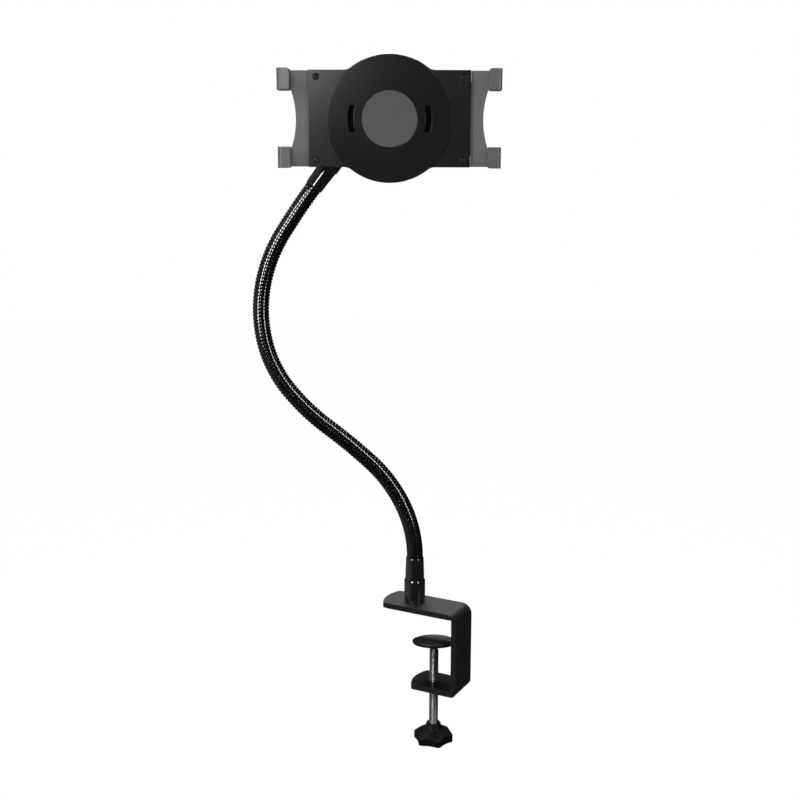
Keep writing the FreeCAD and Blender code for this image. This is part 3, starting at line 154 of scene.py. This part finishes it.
def add(tree, kind, inputs=None, **settings):
    """A shader node with its settings and its inputs, each a value or another node's output."""
    made = tree.nodes.new("ShaderNode" + kind)
    for name, setting in settings.items():
        setattr(made, name, setting)
    for name, given in (inputs or {}).items():
        if isinstance(given, bpy.types.NodeSocket):
            tree.links.new(given, made.inputs[name])
        else:
            made.inputs[name].default_value = given
    return made


def ray_kinds(tree):
    """Whether a camera, glossy or transmission ray looks, and whether it is a glossy one."""
    path = add(tree, "LightPath")
    first = add(tree, "Math", {0: path.outputs["Is Camera Ray"], 1: path.outputs["Is Glossy Ray"]},
                operation="MAXIMUM")
    both = add(tree, "Math", {0: first.outputs[0], 1: path.outputs["Is Transmission Ray"]},
               operation="MAXIMUM")
    return both.outputs[0], path.outputs["Is Glossy Ray"]


def make_world():
    """White wherever a camera looks. The room is lit from its left, and dim in reflections."""
    world = bpy.data.worlds.new("studio")
    bpy.context.scene.world = world
    world.use_nodes = True
    tree = world.node_tree
    tree.nodes.clear()
    seen, glossy = ray_kinds(tree)
    place = add(tree, "TexCoord")
    parts = add(tree, "SeparateXYZ", {0: place.outputs["Generated"]})
    left = add(tree, "MapRange", {
        "Value": parts.outputs["X"],
        "From Min": GLOW_STARTS,
        "From Max": GLOW_FULL,
        "To Min": DIM_ROOM,
        "To Max": LEFT_GLOW,
    })
    soft = add(tree, "MapRange", {
        "Value": parts.outputs["X"],
        "From Min": -AMBIENT_REACH,
        "From Max": AMBIENT_REACH,
        "To Min": AMBIENT_LEFT,
        "To Max": AMBIENT_RIGHT,
    })
    mirrored = add(tree, "Mix", {0: glossy, 2: 1.0, 3: left.outputs[0]}, data_type="FLOAT")
    level = add(tree, "Mix", {0: seen, 2: soft.outputs[0], 3: mirrored.outputs[0]}, data_type="FLOAT")
    light = add(tree, "Background", {"Color": (1, 1, 1, 1), "Strength": level.outputs[0]})
    output = add(tree, "OutputWorld")
    tree.links.new(light.outputs[0], output.inputs["Surface"])


def make_floor():
    """A white floor that takes the stand's shadow and isn't mirrored in it."""
    mesh = bpy.data.meshes.new("floor")
    half = FLOOR_SIZE / 2
    corners = [(-half, -half, 0), (half, -half, 0), (half, half, 0), (-half, half, 0)]
    mesh.from_pydata(corners, [], [(0, 1, 2, 3)])
    floor = bpy.data.objects.new("floor", mesh)
    floor.location.z = FLOOR_Z
    floor.visible_glossy = False
    bpy.context.scene.collection.objects.link(floor)
    paint = bpy.data.materials.new("floor_white")
    paint.use_nodes = True
    tree = paint.node_tree
    tree.nodes.clear()
    seen = ray_kinds(tree)[0]
    lit = add(tree, "BsdfDiffuse", {"Color": (FLOOR_WHITE, FLOOR_WHITE, FLOOR_WHITE, 1)})
    glow = add(tree, "Emission", {"Color": (1, 1, 1, 1), "Strength": 1.0})
    share = add(tree, "Math", {0: seen, 1: FLOOR_GLOW}, operation="MULTIPLY")
    mixed = add(tree, "MixShader", {0: share.outputs[0], 1: lit.outputs[0], 2: glow.outputs[0]})
    output = add(tree, "OutputMaterial")
    tree.links.new(mixed.outputs[0], output.inputs["Surface"])
    mesh.materials.append(paint)


def surface(name, colour, roughness, grain=0.6, relief=0.01, mottle=0.12, metallic=0.0,
            specular=0.5, coat=0.0, fine=None, worn=0.0, ease=0.5, duller=None, painted_shade=None):
    """A procedural finish. grain, fine and ease are sizes and relief a height, in millimetres.

    mottle is how far the colour wanders, worn how much paler the edges are rubbed, and ease how
    wide the edges are rounded. duller takes a material's tree and gives where it is duller, 0 to
    1, and by how much, and the last argument gives where shade in a recess is painted near-black.
    """
    material = bpy.data.materials.new(name)
    material.use_nodes = True
    tree = material.node_tree
    tree.nodes.clear()
    place = add(tree, "TexCoord").outputs["Object"]
    soft = add(tree, "Bevel", {"Radius": ease * MM}, samples=BEVEL_SAMPLES).outputs[0]

    cloud = add(tree, "TexNoise", {"Vector": place, "Scale": CLOUD_SCALE, "Detail": 5.0})
    low = [c * (1 - mottle) for c in colour] + [1]
    high = [c * (1 + mottle) for c in colour] + [1]
    tint = add(tree, "ValToRGB", {"Fac": cloud.outputs["Fac"]})
    tint.color_ramp.elements[0].position = NOISE_LOW
    tint.color_ramp.elements[0].color = low
    tint.color_ramp.elements[1].position = NOISE_HIGH
    tint.color_ramp.elements[1].color = high
    shade = tint.outputs["Color"]
    if worn:
        facing = add(tree, "NewGeometry").outputs["Normal"]
        bend = add(tree, "VectorMath", {0: soft, 1: facing}, operation="DOT_PRODUCT")
        rub = add(tree, "MapRange", {
            "Value": bend.outputs["Value"],
            "From Min": RUBBED_FROM,
            "From Max": RUBBED_FULL,
            "To Min": 0.0,
            "To Max": worn,
        })
        pale = [min(1, c * 3 + 0.05) for c in colour] + [1]
        mixed = add(tree, "Mix", {0: rub.outputs[0], 6: shade, 7: pale}, data_type="RGBA")
        shade = mixed.outputs[2]

    speck = add(tree, "TexNoise", {"Vector": place, "Scale": 1 / (grain * MM), "Detail": 3.0})
    polish = add(tree, "MapRange", {
        "Value": speck.outputs["Fac"],
        "From Min": NOISE_LOW,
        "From Max": NOISE_HIGH,
        "To Min": max(LEAST_ROUGHNESS, roughness - POLISH_SWING),
        "To Max": roughness + POLISH_SWING,
    })
    rough = polish.outputs[0]
    if duller:
        where, how_much = duller(tree)
        share = add(tree, "Math", {0: where, 1: how_much}, operation="MULTIPLY")
        rough = add(tree, "Math", {0: rough, 1: share.outputs[0]}, operation="ADD").outputs[0]
    bump = add(tree, "Bump", {
        "Strength": 1.0,
        "Distance": relief * MM,
        "Height": speck.outputs["Fac"],
        "Normal": soft,
    })
    if fine:
        dots = add(tree, "TexVoronoi", {"Vector": place, "Scale": 1 / (fine * MM)})
        bump = add(tree, "Bump", {
            "Strength": FINE_STRENGTH,
            "Distance": relief * MM,
            "Height": dots.outputs["Distance"],
            "Normal": bump.outputs[0],
        })
    shader = add(tree, "BsdfPrincipled", {
        "Base Color": shade,
        "Roughness": rough,
        "Metallic": metallic,
        "Specular IOR Level": specular,
        "Coat Weight": coat,
        "Coat Roughness": COAT_ROUGHNESS,
        "Normal": bump.outputs[0],
    })
    look = shader.outputs[0]
    # painted shade: where the mask says, a near-black matte takes over from the finish
    if painted_shade:
        shade_paint = add(tree, "BsdfDiffuse", {"Color": SHADE_PAINT_BLACK})
        look = add(tree, "MixShader", {0: painted_shade(tree), 1: look, 2: shade_paint.outputs[0]}).outputs[0]
    output = add(tree, "OutputMaterial")
    tree.links.new(look, output.inputs["Surface"])
    return material


def middle_of(node):
    """The middle of a node's box."""
    low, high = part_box(node)
    return (Vector(low) + Vector(high)) / 2


def on_upper_jaw(tree):
    """The upper jaw's top face, which hands and dust have dulled."""
    height = add(tree, "SeparateXYZ", {0: add(tree, "TexCoord").outputs["Object"]})
    above = add(tree, "Math", {0: height.outputs["Z"], 1: DESK_LINE}, operation="GREATER_THAN")
    normal = add(tree, "SeparateXYZ", {0: add(tree, "NewGeometry").outputs["Normal"]})
    upward = add(tree, "MapRange", {
        "Value": normal.outputs["Z"],
        "From Min": UPWARD_FROM,
        "From Max": UPWARD_FULL,
    })
    where = add(tree, "Math", {0: above.outputs[0], 1: upward.outputs[0]}, operation="MULTIPLY")
    return where.outputs[0], JAW_DULLER


def from_disc_axis(tree):
    """How far a point is from the axis of the cover's raised disc."""
    place = add(tree, "TexCoord").outputs["Object"]
    out = add(tree, "VectorMath", {0: place, 1: middle_of("centre_pad")}, operation="SUBTRACT")
    flat = add(tree, "VectorMath", {0: out.outputs[0], 1: (1, 0, 1)}, operation="MULTIPLY")
    return add(tree, "VectorMath", {0: flat.outputs[0]}, operation="LENGTH").outputs["Value"]


def off_the_disc(tree):
    """The cover beside its raised disc, which is less polished than the disc."""
    where = add(tree, "Math", {0: from_disc_axis(tree), 1: DISC_RADIUS}, operation="GREATER_THAN")
    return where.outputs[0], BESIDE_DISC_DULLER


def slot_floor_shade(tree):
    """The floors of the two curved recesses, where shade is painted near-black."""
    near = add(tree, "Math", {0: from_disc_axis(tree), 1: SLOTS_WITHIN}, operation="LESS_THAN")
    place = add(tree, "SeparateXYZ", {0: add(tree, "TexCoord").outputs["Object"]})
    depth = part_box("front_cover")[0][1] + SLOT_FLOOR
    deep = add(tree, "Math", {0: place.outputs["Y"], 1: depth}, operation="GREATER_THAN")
    return add(tree, "Math", {0: near.outputs[0], 1: deep.outputs[0]}, operation="MULTIPLY").outputs[0]


FINISHES = {
    "black_paint": surface(
        "powder_coat", (0.006, 0.006, 0.0063), 0.25, grain=0.9, relief=0.02, worn=0.12,
        duller=on_upper_jaw,
    ),
    "black_neck": surface(
        "black_plating", (0.12, 0.12, 0.124), 0.14, grain=0.5, relief=0.006, mottle=0.05,
        metallic=1.0, ease=0.15,
    ),
    "black_sleeve": surface(
        "gloss_sleeve", (0.005, 0.005, 0.005), 0.14, grain=1.5, relief=0.008, specular=1.0,
        coat=1.0, ease=0.3,
    ),
    "screw_steel": surface(
        "zinc_thread", (0.45, 0.45, 0.44), 0.32, grain=0.2, relief=0.006, metallic=1.0, ease=0.1,
    ),
    "hidden_steel": surface(
        "plain_steel", (0.5, 0.5, 0.49), 0.3, grain=0.25, relief=0.005, metallic=1.0, ease=0.2,
    ),
    "black_rubber": surface(
        "rubber", (0.014, 0.014, 0.014), 0.6, grain=0.35, relief=0.03, fine=0.5,
    ),
    "knob_plastic": surface(
        "moulded_knob", (0.002, 0.002, 0.002), 0.42, grain=0.4, relief=0.012, specular=0.25,
        fine=0.35, ease=0.9,
    ),
    "arm_plastic": surface(
        "moulded_bracket", (0.01, 0.01, 0.01), 0.35, grain=0.4, relief=0.015, ease=0.8,
    ),
    # the cover, with painted shade on its recess floors
    "cover_plastic": surface(
        "satin_cover", (0.007, 0.007, 0.0073), 0.15, grain=0.5, relief=0.004, ease=0.8,
        duller=off_the_disc, painted_shade=slot_floor_shade,
    ),
    "rear_plastic": surface(
        "spark_cover", (0.014, 0.014, 0.0145), 0.4, grain=0.35, relief=0.02, fine=0.4, ease=0.8,
    ),
    "grey_plastic": surface(
        "grey_arm", (0.095, 0.095, 0.099), 0.4, grain=0.45, relief=0.006, mottle=0.04,
    ),
    "hook_grey": surface(
        "grey_hook", (0.085, 0.085, 0.087), 0.26, grain=0.4, relief=0.004, mottle=0.04, ease=0.8,
    ),
    "pad_grey": surface(
        "soft_pad", (0.066, 0.066, 0.066), 0.8, grain=0.3, relief=0.02, mottle=0.04,
        specular=0.15, fine=0.45,
    ),
    "gear_plastic": surface(
        "natural_gear", (0.68, 0.67, 0.62), 0.45, grain=0.5, relief=0.008, mottle=0.05, ease=0.2,
    ),
    "screw_black": surface(
        "black_oxide", (0.02, 0.02, 0.021), 0.3, grain=0.2, relief=0.005, metallic=0.6, ease=0.15,
    ),
}

for node_name, node in NODES.items():
    for slot in node.material_slots:
        slot.material = FINISHES[SLOTS[node_name]]

# Detailed pieces
SMOOTH_UNDER = 40
# turns a piece that is drawn along local Z so that it faces the front
FACING_FRONT = Matrix.Rotation(math.radians(90), 4, "X")


def finish_piece(name, mesh, node, finish=None, smooth=SMOOTH_UNDER):
    """Links a piece that stands for a node and gives it a finish, the node's own if none is named."""
    mesh.materials.append(finish or FINISHES[SLOTS[node]])
    piece = bpy.data.objects.new(name, mesh)
    bpy.context.scene.collection.objects.link(piece)
    mesh.shade_smooth()
    mesh.set_sharp_from_angle(angle=math.radians(smooth))
    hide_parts(node)
    return piece


def mesh_of(name, points, faces):
    """A mesh of points in metres, in the part's frame."""
    mesh = bpy.data.meshes.new(name)
    mesh.from_pydata([tuple(point) for point in points], [], faces)
    mesh.validate()
    return mesh


def turned(profile, steps, place):
    """Points and faces of a profile of radius and height in millimetres, turned about local Z.

    The profile runs from the axis to the axis; place carries it to the part, in metres.
    """
    points, faces, rings = [], [], []
    for radius, height in profile:
        if radius == 0:
            rings.append([len(points)])
            points.append(place @ Vector((0, 0, height * MM)))
            continue
        ring = []
        for step in range(steps):
            angle = 2 * math.pi * step / steps
            ring.append(len(points))
            points.append(place @ Vector((
                radius * math.cos(angle) * MM, radius * math.sin(angle) * MM, height * MM
            )))
        rings.append(ring)
    for low, high in zip(rings, rings[1:]):
        for step in range(steps):
            after = (step + 1) % steps
            if len(low) == 1:
                faces.append((low[0], high[after], high[step]))
            elif len(high) == 1:
                faces.append((low[step], low[after], high[0]))
            else:
                faces.append((low[step], low[after], high[after], high[step]))
    return points, faces


def tube_faces(rings, sides):
    """The faces of a closed tube through that many rings of points, with that many sides."""
    faces = []
    for ring in range(rings - 1):
        for side in range(sides):
            after = (side + 1) % sides
            first, second = ring * sides, (ring + 1) * sides
            faces.append((first + side, first + after, second + after, second + side))
    faces.append(tuple(reversed(range(sides))))
    faces.append(tuple(range((rings - 1) * sides, rings * sides)))
    return faces


# the neck: ribs on the length of one CAD piece, their radii and the plain ends, in millimetres
RIBS_PER_PIECE = 16
RIB_CREST = 7
RIB_GROOVE = 6.1
# a rib's outline: share of its length and how far it stands from groove to crest
RIB_OUTLINE = ((0, 0), (0.13, 0.95), (0.5, 1), (0.87, 0.95))
NECK_STEPS = 40
RIB_SHARP = 30
NECK_END_RADIUS = 6
NECK_END_REACH = 13.9
FERRULE_HEIGHT = 20.1


class NeckArc:
    """One piece of the neck: an arc, so its directions mirror each other about its chord."""

    def __init__(self, start, along, end):
        chord = end - start
        aim = chord.normalized()
        self.start, self.along = start, along
        self.after = aim * (2 * aim.dot(along)) - along
        self.turn = along.angle(self.after)
        self.radius = chord.length / (2 * math.sin(self.turn / 2))
        self.length = self.radius * self.turn
        self.inward = (self.after - along * self.after.dot(along)).normalized()

    def at(self, distance):
        """Middle and direction of the neck there, which runs straight on past the arc's ends."""
        angle = max(0, min(distance / self.radius, self.turn))
        middle = self.start + self.along * (self.radius * math.sin(angle))
        middle += self.inward * (self.radius * (1 - math.cos(angle)))
        direction = self.along * math.cos(angle) + self.inward * math.sin(angle)
        return middle + direction * (distance - angle * self.radius), direction

    def ribs(self, first, last):
        """Rings of middle, direction and radius over some of the ribs."""
        pitch = self.length / RIBS_PER_PIECE
        rings = []
        for rib in range(first, last):
            for share, stand in RIB_OUTLINE:
                radius = RIB_GROOVE + (RIB_CREST - RIB_GROOVE) * stand
                rings.append((*self.at(pitch * (rib + share)), radius))
        rings.append((*self.at(pitch * last), RIB_GROOVE))
        return rings


def neck_arcs():
    """The pieces of the neck, from the lower ferrule's top through each ball to the upper ferrule."""
    spot = middle_of("lower_ferrule")
    spot.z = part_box("lower_ferrule")[1][2]
    along = Vector((0, 0, 1))
    joints = {joint["name"]: joint for joint in frame["joints"]}
    twist = joints["head_twist"]
    balls = [Vector(joint["pos_m"]) for name, joint in joints.items() if name.startswith("neck_bend")]
    top = Vector(twist["pos_m"]) - Vector(twist["axis"]) * (FERRULE_HEIGHT * MM)
    arcs = []
    for ball in balls + [top]:
        arcs.append(NeckArc(spot, along, ball))
        spot, along = ball, arcs[-1].after
    return arcs


def ribbed(name, rings):
    """A closed tube through rings of middle, direction and radius."""
    points = []
    for middle, along, radius in rings:
        across = Vector((0, 1, 0)).cross(along).normalized()
        upward = along.cross(across)
        for step in range(NECK_STEPS):
            angle = 2 * math.pi * step / NECK_STEPS
            outward = across * math.cos(angle) + upward * math.sin(angle)
            points.append(middle + outward * (radius * MM))
    return mesh_of(name, points, tube_faces(len(rings), NECK_STEPS))


def make_neck():
    """Ribs from the middle of each piece to the middle of the next, bent over the ball between."""
    arcs = neck_arcs()
    half = RIBS_PER_PIECE // 2
    first, last = arcs[0], arcs[-1]
    rooted = [(*first.at(-NECK_END_REACH * MM), NECK_END_RADIUS), (*first.at(0), NECK_END_RADIUS)]
    tip = last.at(last.length + NECK_END_REACH * MM)
    topped = [(*last.at(last.length), NECK_END_RADIUS), (*tip, NECK_END_RADIUS)]
    rings = rooted + first.ribs(0, half)
    piece = finish_piece("neck_foot_ribs", ribbed("neck_foot_ribs", rings), "neck_1", smooth=RIB_SHARP)
    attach(piece, BODIES["neck_1"])
    for number, (low, high) in enumerate(zip(arcs, arcs[1:]), start=1):
        rings = low.ribs(half, RIBS_PER_PIECE)[:-1] + high.ribs(0, half)
        name = f"neck_ribs_{number}"
        piece = finish_piece(name, ribbed(name, rings), f"neck_{number + 1}", smooth=RIB_SHARP)
        start, end = low.at(low.length / 2)[0], high.at(high.length / 2)[0]
        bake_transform(piece)
    top = f"neck_{len(arcs)}"
    rings = last.ribs(half, RIBS_PER_PIECE) + topped
    piece = finish_piece("neck_top_ribs", ribbed("neck_top_ribs", rings), top, smooth=RIB_SHARP)
    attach(piece, BODIES[top])


# the clamp screw: its thread, how far the crest stays inside the CAD box, how steep the flanks
# are, and the turned end with its chamfer, in millimetres
THREAD_PITCH = 1.25
THREAD_DEPTH = 0.62
THREAD_TURNS = 64
THREAD_STEPS = 40
RINGS_PER_TURN = 8
CREST_INSET = 0.02
FLANK_SLOPE = 1.25
THREAD_SHARP = 25
PEG_RADIUS = 2
PEG_CHAMFER = 0.3
PEG_SUNK = 0.5
PEG_STEPS = 32


def make_screw():
    """A real right-handed thread on the clamp screw, and its plain end in the foot's ball."""
    low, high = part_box("clamp_screw")
    centre = middle_of("clamp_screw")
    crest = (high[0] - low[0]) / 2 / MM - CREST_INSET
    rings = THREAD_TURNS * RINGS_PER_TURN + 1
    points = []
    for ring in range(rings):
        height = ring / RINGS_PER_TURN
        for step in range(THREAD_STEPS):
            share = step / THREAD_STEPS
            phase = (height - share) % 1
            ridge = min(1, FLANK_SLOPE * (1 - abs(2 * phase - 1)))
            radius = (crest - THREAD_DEPTH * (1 - ridge)) * MM
            angle = 2 * math.pi * share
            points.append((
                centre.x + radius * math.cos(angle),
                centre.y + radius * math.sin(angle),
                low[2] + height * THREAD_PITCH * MM,
            ))
    faces = tube_faces(rings, THREAD_STEPS)
    peg_foot = THREAD_TURNS * THREAD_PITCH - PEG_SUNK
    length = (high[2] - low[2]) / MM
    place = Matrix.Translation((centre.x, centre.y, low[2]))
    peg_points, peg_faces = turned([
        (0, peg_foot),
        (PEG_RADIUS, peg_foot),
        (PEG_RADIUS, length - PEG_CHAMFER),
        (PEG_RADIUS - PEG_CHAMFER, length),
        (0, length),
    ], PEG_STEPS, place)
    start = len(points)
    points += peg_points
    faces += [tuple(corner + start for corner in face) for face in peg_faces]
    mesh = mesh_of("screw_thread", points, faces)
    piece = finish_piece("screw_thread", mesh, "clamp_screw", smooth=THREAD_SHARP)
    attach(piece, BODIES["clamp_screw"])


# return springs, in millimetres
COIL_TURNS = 46
COIL_STEPS = 18
WIRE_RADIUS = 0.3
WIRE_SIDES = 6
WIRE_SHARP = 70


def make_coil(node):
    """A wound spring between the holder and an arm."""
    low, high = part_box(node)
    centre = middle_of(node)
    wire = WIRE_RADIUS * MM
    reach = (high[2] - low[2]) / 2 - wire
    count = COIL_TURNS * COIL_STEPS
    run = high[0] - low[0] - 2 * wire
    points = []
    for step in range(count + 1):
        angle = 2 * math.pi * step / COIL_STEPS
        out = Vector((0, math.cos(angle), math.sin(angle)))
        core = Vector((low[0] + wire + run * step / count, centre.y, centre.z)) + out * reach
        for side in range(WIRE_SIDES):
            turn = 2 * math.pi * side / WIRE_SIDES
            points.append(core + out * (wire * math.cos(turn)) + Vector((wire * math.sin(turn), 0, 0)))
    faces = tube_faces(count + 1, WIRE_SIDES)
    name = f"{node}_coil"
    piece = finish_piece(name, mesh_of(name, points, faces), node, smooth=WIRE_SHARP)
    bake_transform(piece)


# the soft pad in the disc's middle: its rims, its crown and where the crown is drawn, in millimetres
SOFT_STEPS = 96
SOFT_REAR_CHAMFER = 0.3
SOFT_RIM = 0.6
SOFT_RIM_STEPS = 4
SOFT_CROWN = 0.12
SOFT_CROWN_SHARES = (0.93, 0.8, 0.6, 0.3)


def make_centre_pad():
    """A thin soft disc with a rounded rim and a faint crown."""
    low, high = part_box("centre_pad")
    centre = middle_of("centre_pad")
    radius = (high[0] - low[0]) / 2 / MM
    thick = (high[1] - low[1]) / MM
    place = Matrix.Translation((centre.x, high[1], centre.z)) @ FACING_FRONT
    profile = [(0, 0), (radius - SOFT_REAR_CHAMFER, 0), (radius, SOFT_REAR_CHAMFER)]
    rim_middle = thick - SOFT_CROWN - SOFT_RIM
    for step in range(SOFT_RIM_STEPS + 1):
        angle = math.radians(90 * step / SOFT_RIM_STEPS)
        profile.append((
            radius - SOFT_RIM + SOFT_RIM * math.cos(angle), rim_middle + SOFT_RIM * math.sin(angle)
        ))
    for share in SOFT_CROWN_SHARES:
        profile.append((radius * share, thick - SOFT_CROWN * share ** 2))
    profile.append((0, thick))
    points, faces = turned(profile, SOFT_STEPS, place)
    piece = finish_piece("soft_disc", mesh_of("soft_disc", points, faces), "centre_pad")
    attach(piece, BODIES["centre_pad"])


# where the foot's ball is, in metres, and how the foot hangs about it
FOOT_BALL = Vector((0.017135, -0.008882, -0.0322))
FOOT_TILT = -8
# the foot's rubber, in millimetres above the ball, and the halves of a groove's mouth and floor
RUBBER_STEPS = 96
RUBBER_RADIUS = 17.25
RUBBER_LOW = 4.0
RUBBER_TOP = 5.6
RUBBER_RIM = 0.9
RUBBER_RIM_STEPS = 5
RUBBER_WALL_DROP = 0.95
RUBBER_GROOVES = (13.4, 10.2)
GROOVE_MOUTH = 0.45
GROOVE_FLOOR = 0.2
GROOVE_DEPTH = 0.25


def make_foot_rubber():
    """The rubber in the foot's dish: a rounded rim and two shallow rings."""
    place = Matrix.Translation(FOOT_BALL) @ Matrix.Rotation(math.radians(FOOT_TILT), 4, "X")
    profile = [
        (0, RUBBER_LOW),
        (RUBBER_RADIUS, RUBBER_LOW),
        (RUBBER_RADIUS, RUBBER_TOP - RUBBER_WALL_DROP),
    ]
    for step in range(1, RUBBER_RIM_STEPS + 1):
        angle = math.radians(90 * step / RUBBER_RIM_STEPS)
        profile.append((
            RUBBER_RADIUS - RUBBER_RIM + RUBBER_RIM * math.cos(angle),
            RUBBER_TOP - RUBBER_RIM + RUBBER_RIM * math.sin(angle),
        ))
    for radius in RUBBER_GROOVES:
        profile += [
            (radius + GROOVE_MOUTH, RUBBER_TOP),
            (radius + GROOVE_FLOOR, RUBBER_TOP - GROOVE_DEPTH),
            (radius - GROOVE_FLOOR, RUBBER_TOP - GROOVE_DEPTH),
            (radius - GROOVE_MOUTH, RUBBER_TOP),
        ]
    profile.append((0, RUBBER_TOP))
    points, faces = turned(profile, RUBBER_STEPS, place)
    piece = finish_piece("foot_sole", mesh_of("foot_sole", points, faces), "foot_rubber")
    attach(piece, BODIES["foot_rubber"])


# the pad under the upper jaw, in the clamp's own frame, in millimetres
JAW_YAW = -27.4
PAD_FRONT = -25.2
PAD_REAR = 40.0
PAD_HALF = 14.3
PAD_THICK = 1.2
PAD_TIP_ROUND = 6
PAD_REAR_ROUND = 0.6
PAD_CORNER_STEPS = 8
PAD_EDGE = 0.3
PAD_LOW = 0.02


def rounded_outline(inset):
    """The jaw pad's outline, drawn in by a length, with round corners."""
    outline = []
    corners = [
        (PAD_REAR, PAD_HALF, 0, PAD_REAR_ROUND),
        (PAD_FRONT, PAD_HALF, 90, PAD_TIP_ROUND),
        (PAD_FRONT, -PAD_HALF, 180, PAD_TIP_ROUND),
        (PAD_REAR, -PAD_HALF, 270, PAD_REAR_ROUND),
    ]
    for across, along, start, radius in corners:
        middle_x = across - math.copysign(radius, across)
        middle_y = along - math.copysign(radius, along)
        reach = radius - inset
        for step in range(PAD_CORNER_STEPS + 1):
            angle = math.radians(start + 90 * step / PAD_CORNER_STEPS)
            outline.append((middle_x + reach * math.cos(angle), middle_y + reach * math.sin(angle)))
    return outline


def make_jaw_pad():
    """The rubber strip under the upper jaw, eased on both faces."""
    place = Matrix.Rotation(math.radians(JAW_YAW), 4, "Z")
    layers = [
        (PAD_EDGE, PAD_LOW),
        (0, PAD_EDGE),
        (0, PAD_THICK - PAD_EDGE / 2),
        (PAD_EDGE / 2, PAD_THICK),
    ]
    points = []
    for inset, height in layers:
        points += [place @ Vector((x * MM, y * MM, height * MM)) for x, y in rounded_outline(inset)]
    faces = tube_faces(len(layers), len(points) // len(layers))
    piece = finish_piece("jaw_rubber", mesh_of("jaw_rubber", points, faces), "jaw_pad")
    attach(piece, BODIES["jaw_pad"])


# cover screws, in millimetres; the falls are shares of the head's height and the recess's depth
HEAD_RADIUS = 2.5
HEAD_HEIGHT = 1.1
HEAD_FALL = 0.45
HEAD_STEPS = 64
HEAD_RINGS = 16
HEAD_SHARP = 35
SHANK_RADIUS = 1.25
SHANK_TIP_RADIUS = 0.4
SHANK_TIP = 0.8
# the cross recess: a wing's half width at the middle and how much of it is lost by the wing's end
CROSS_HALF = 0.483
CROSS_TAPER = 0.168
CROSS_REACH = 1.55
CROSS_DEEP = 0.75
CROSS_RISE = 0.75
CROSS_TURNS = (20, 65, 5, 40)
WELD_WITHIN = 0.002


def screw_head(place, length, turn):
    """A pan head with a cross recess, drawn as a height over rings and spokes, and its shank."""
    points, faces = [], []
    for ring in range(HEAD_RINGS + 1):
        radius = HEAD_RADIUS * ring / HEAD_RINGS
        for step in range(HEAD_STEPS):
            angle = 2 * math.pi * step / HEAD_STEPS
            x, y = radius * math.cos(angle), radius * math.sin(angle)
            crown = HEAD_HEIGHT * (1 - HEAD_FALL * (radius / HEAD_RADIUS) ** 4)
            turned_angle = angle + math.radians(turn)
            wings = abs(radius * math.cos(turned_angle)), abs(radius * math.sin(turned_angle))
            out = min(max(wings) / CROSS_REACH, 1)
            if min(wings) < CROSS_HALF - CROSS_TAPER * out and max(wings) < CROSS_REACH:
                crown -= CROSS_DEEP * (1 - CROSS_RISE * out ** 2)
            points.append(place @ Vector((x * MM, y * MM, crown * MM)))
    for ring in range(HEAD_RINGS):
        for step in range(HEAD_STEPS):
            after = (step + 1) % HEAD_STEPS
            first, second = ring * HEAD_STEPS, (ring + 1) * HEAD_STEPS
            faces.append((first + step, second + step, second + after, first + after))
    skirt = len(points)
    body = [
        (0, -length),
        (SHANK_TIP_RADIUS, -length),
        (SHANK_RADIUS, -length + SHANK_TIP),
        (SHANK_RADIUS, 0),
        (HEAD_RADIUS, 0),
    ]
    low_points, low_faces = turned(body, HEAD_STEPS, place)
    points += low_points
    faces += [tuple(corner + skirt for corner in face) for face in low_faces]
    rim = len(points) - HEAD_STEPS
    edge = HEAD_RINGS * HEAD_STEPS
    for step in range(HEAD_STEPS):
        after = (step + 1) % HEAD_STEPS
        faces.append((rim + step, rim + after, edge + after, edge + step))
    return points, faces


def make_cover_screws():
    """Four screws with cross recesses, in the corners of the cover."""
    low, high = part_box("cover_screws")
    seat = low[1] + HEAD_HEIGHT * MM
    length = (high[1] - seat) / MM
    columns = (low[0] + HEAD_RADIUS * MM, high[0] - HEAD_RADIUS * MM)
    heights = (low[2] + HEAD_RADIUS * MM, high[2] - HEAD_RADIUS * MM)
    spots = [(x, z) for x in columns for z in heights]
    points, faces = [], []
    for (x, z), turn in zip(spots, CROSS_TURNS):
        place = Matrix.Translation((x, seat, z)) @ FACING_FRONT
        start = len(points)
        head_points, head_faces = screw_head(place, length, turn)
        points += head_points
        faces += [tuple(corner + start for corner in face) for face in head_faces]
    mesh = mesh_of("cross_heads", points, faces)
    joined = bmesh.new()
    joined.from_mesh(mesh)
    bmesh.ops.remove_doubles(joined, verts=joined.verts, dist=WELD_WITHIN * MM)
    bmesh.ops.recalc_face_normals(joined, faces=joined.faces)
    joined.to_mesh(mesh)
    joined.free()
    black = FINISHES["screw_black"]
    piece = finish_piece("cross_heads", mesh, "cover_screws", finish=black, smooth=HEAD_SHARP)
    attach(piece, BODIES["cover_screws"])


make_neck()
make_screw()
make_coil("left_spring")
make_coil("right_spring")
make_centre_pad()
make_foot_rubber()
make_jaw_pad()
make_cover_screws()

bpy.context.scene.view_settings.view_transform = "Standard"
make_camera()
make_world()
make_floor()
for lamp in LAMPS:
    softbox(*lamp)
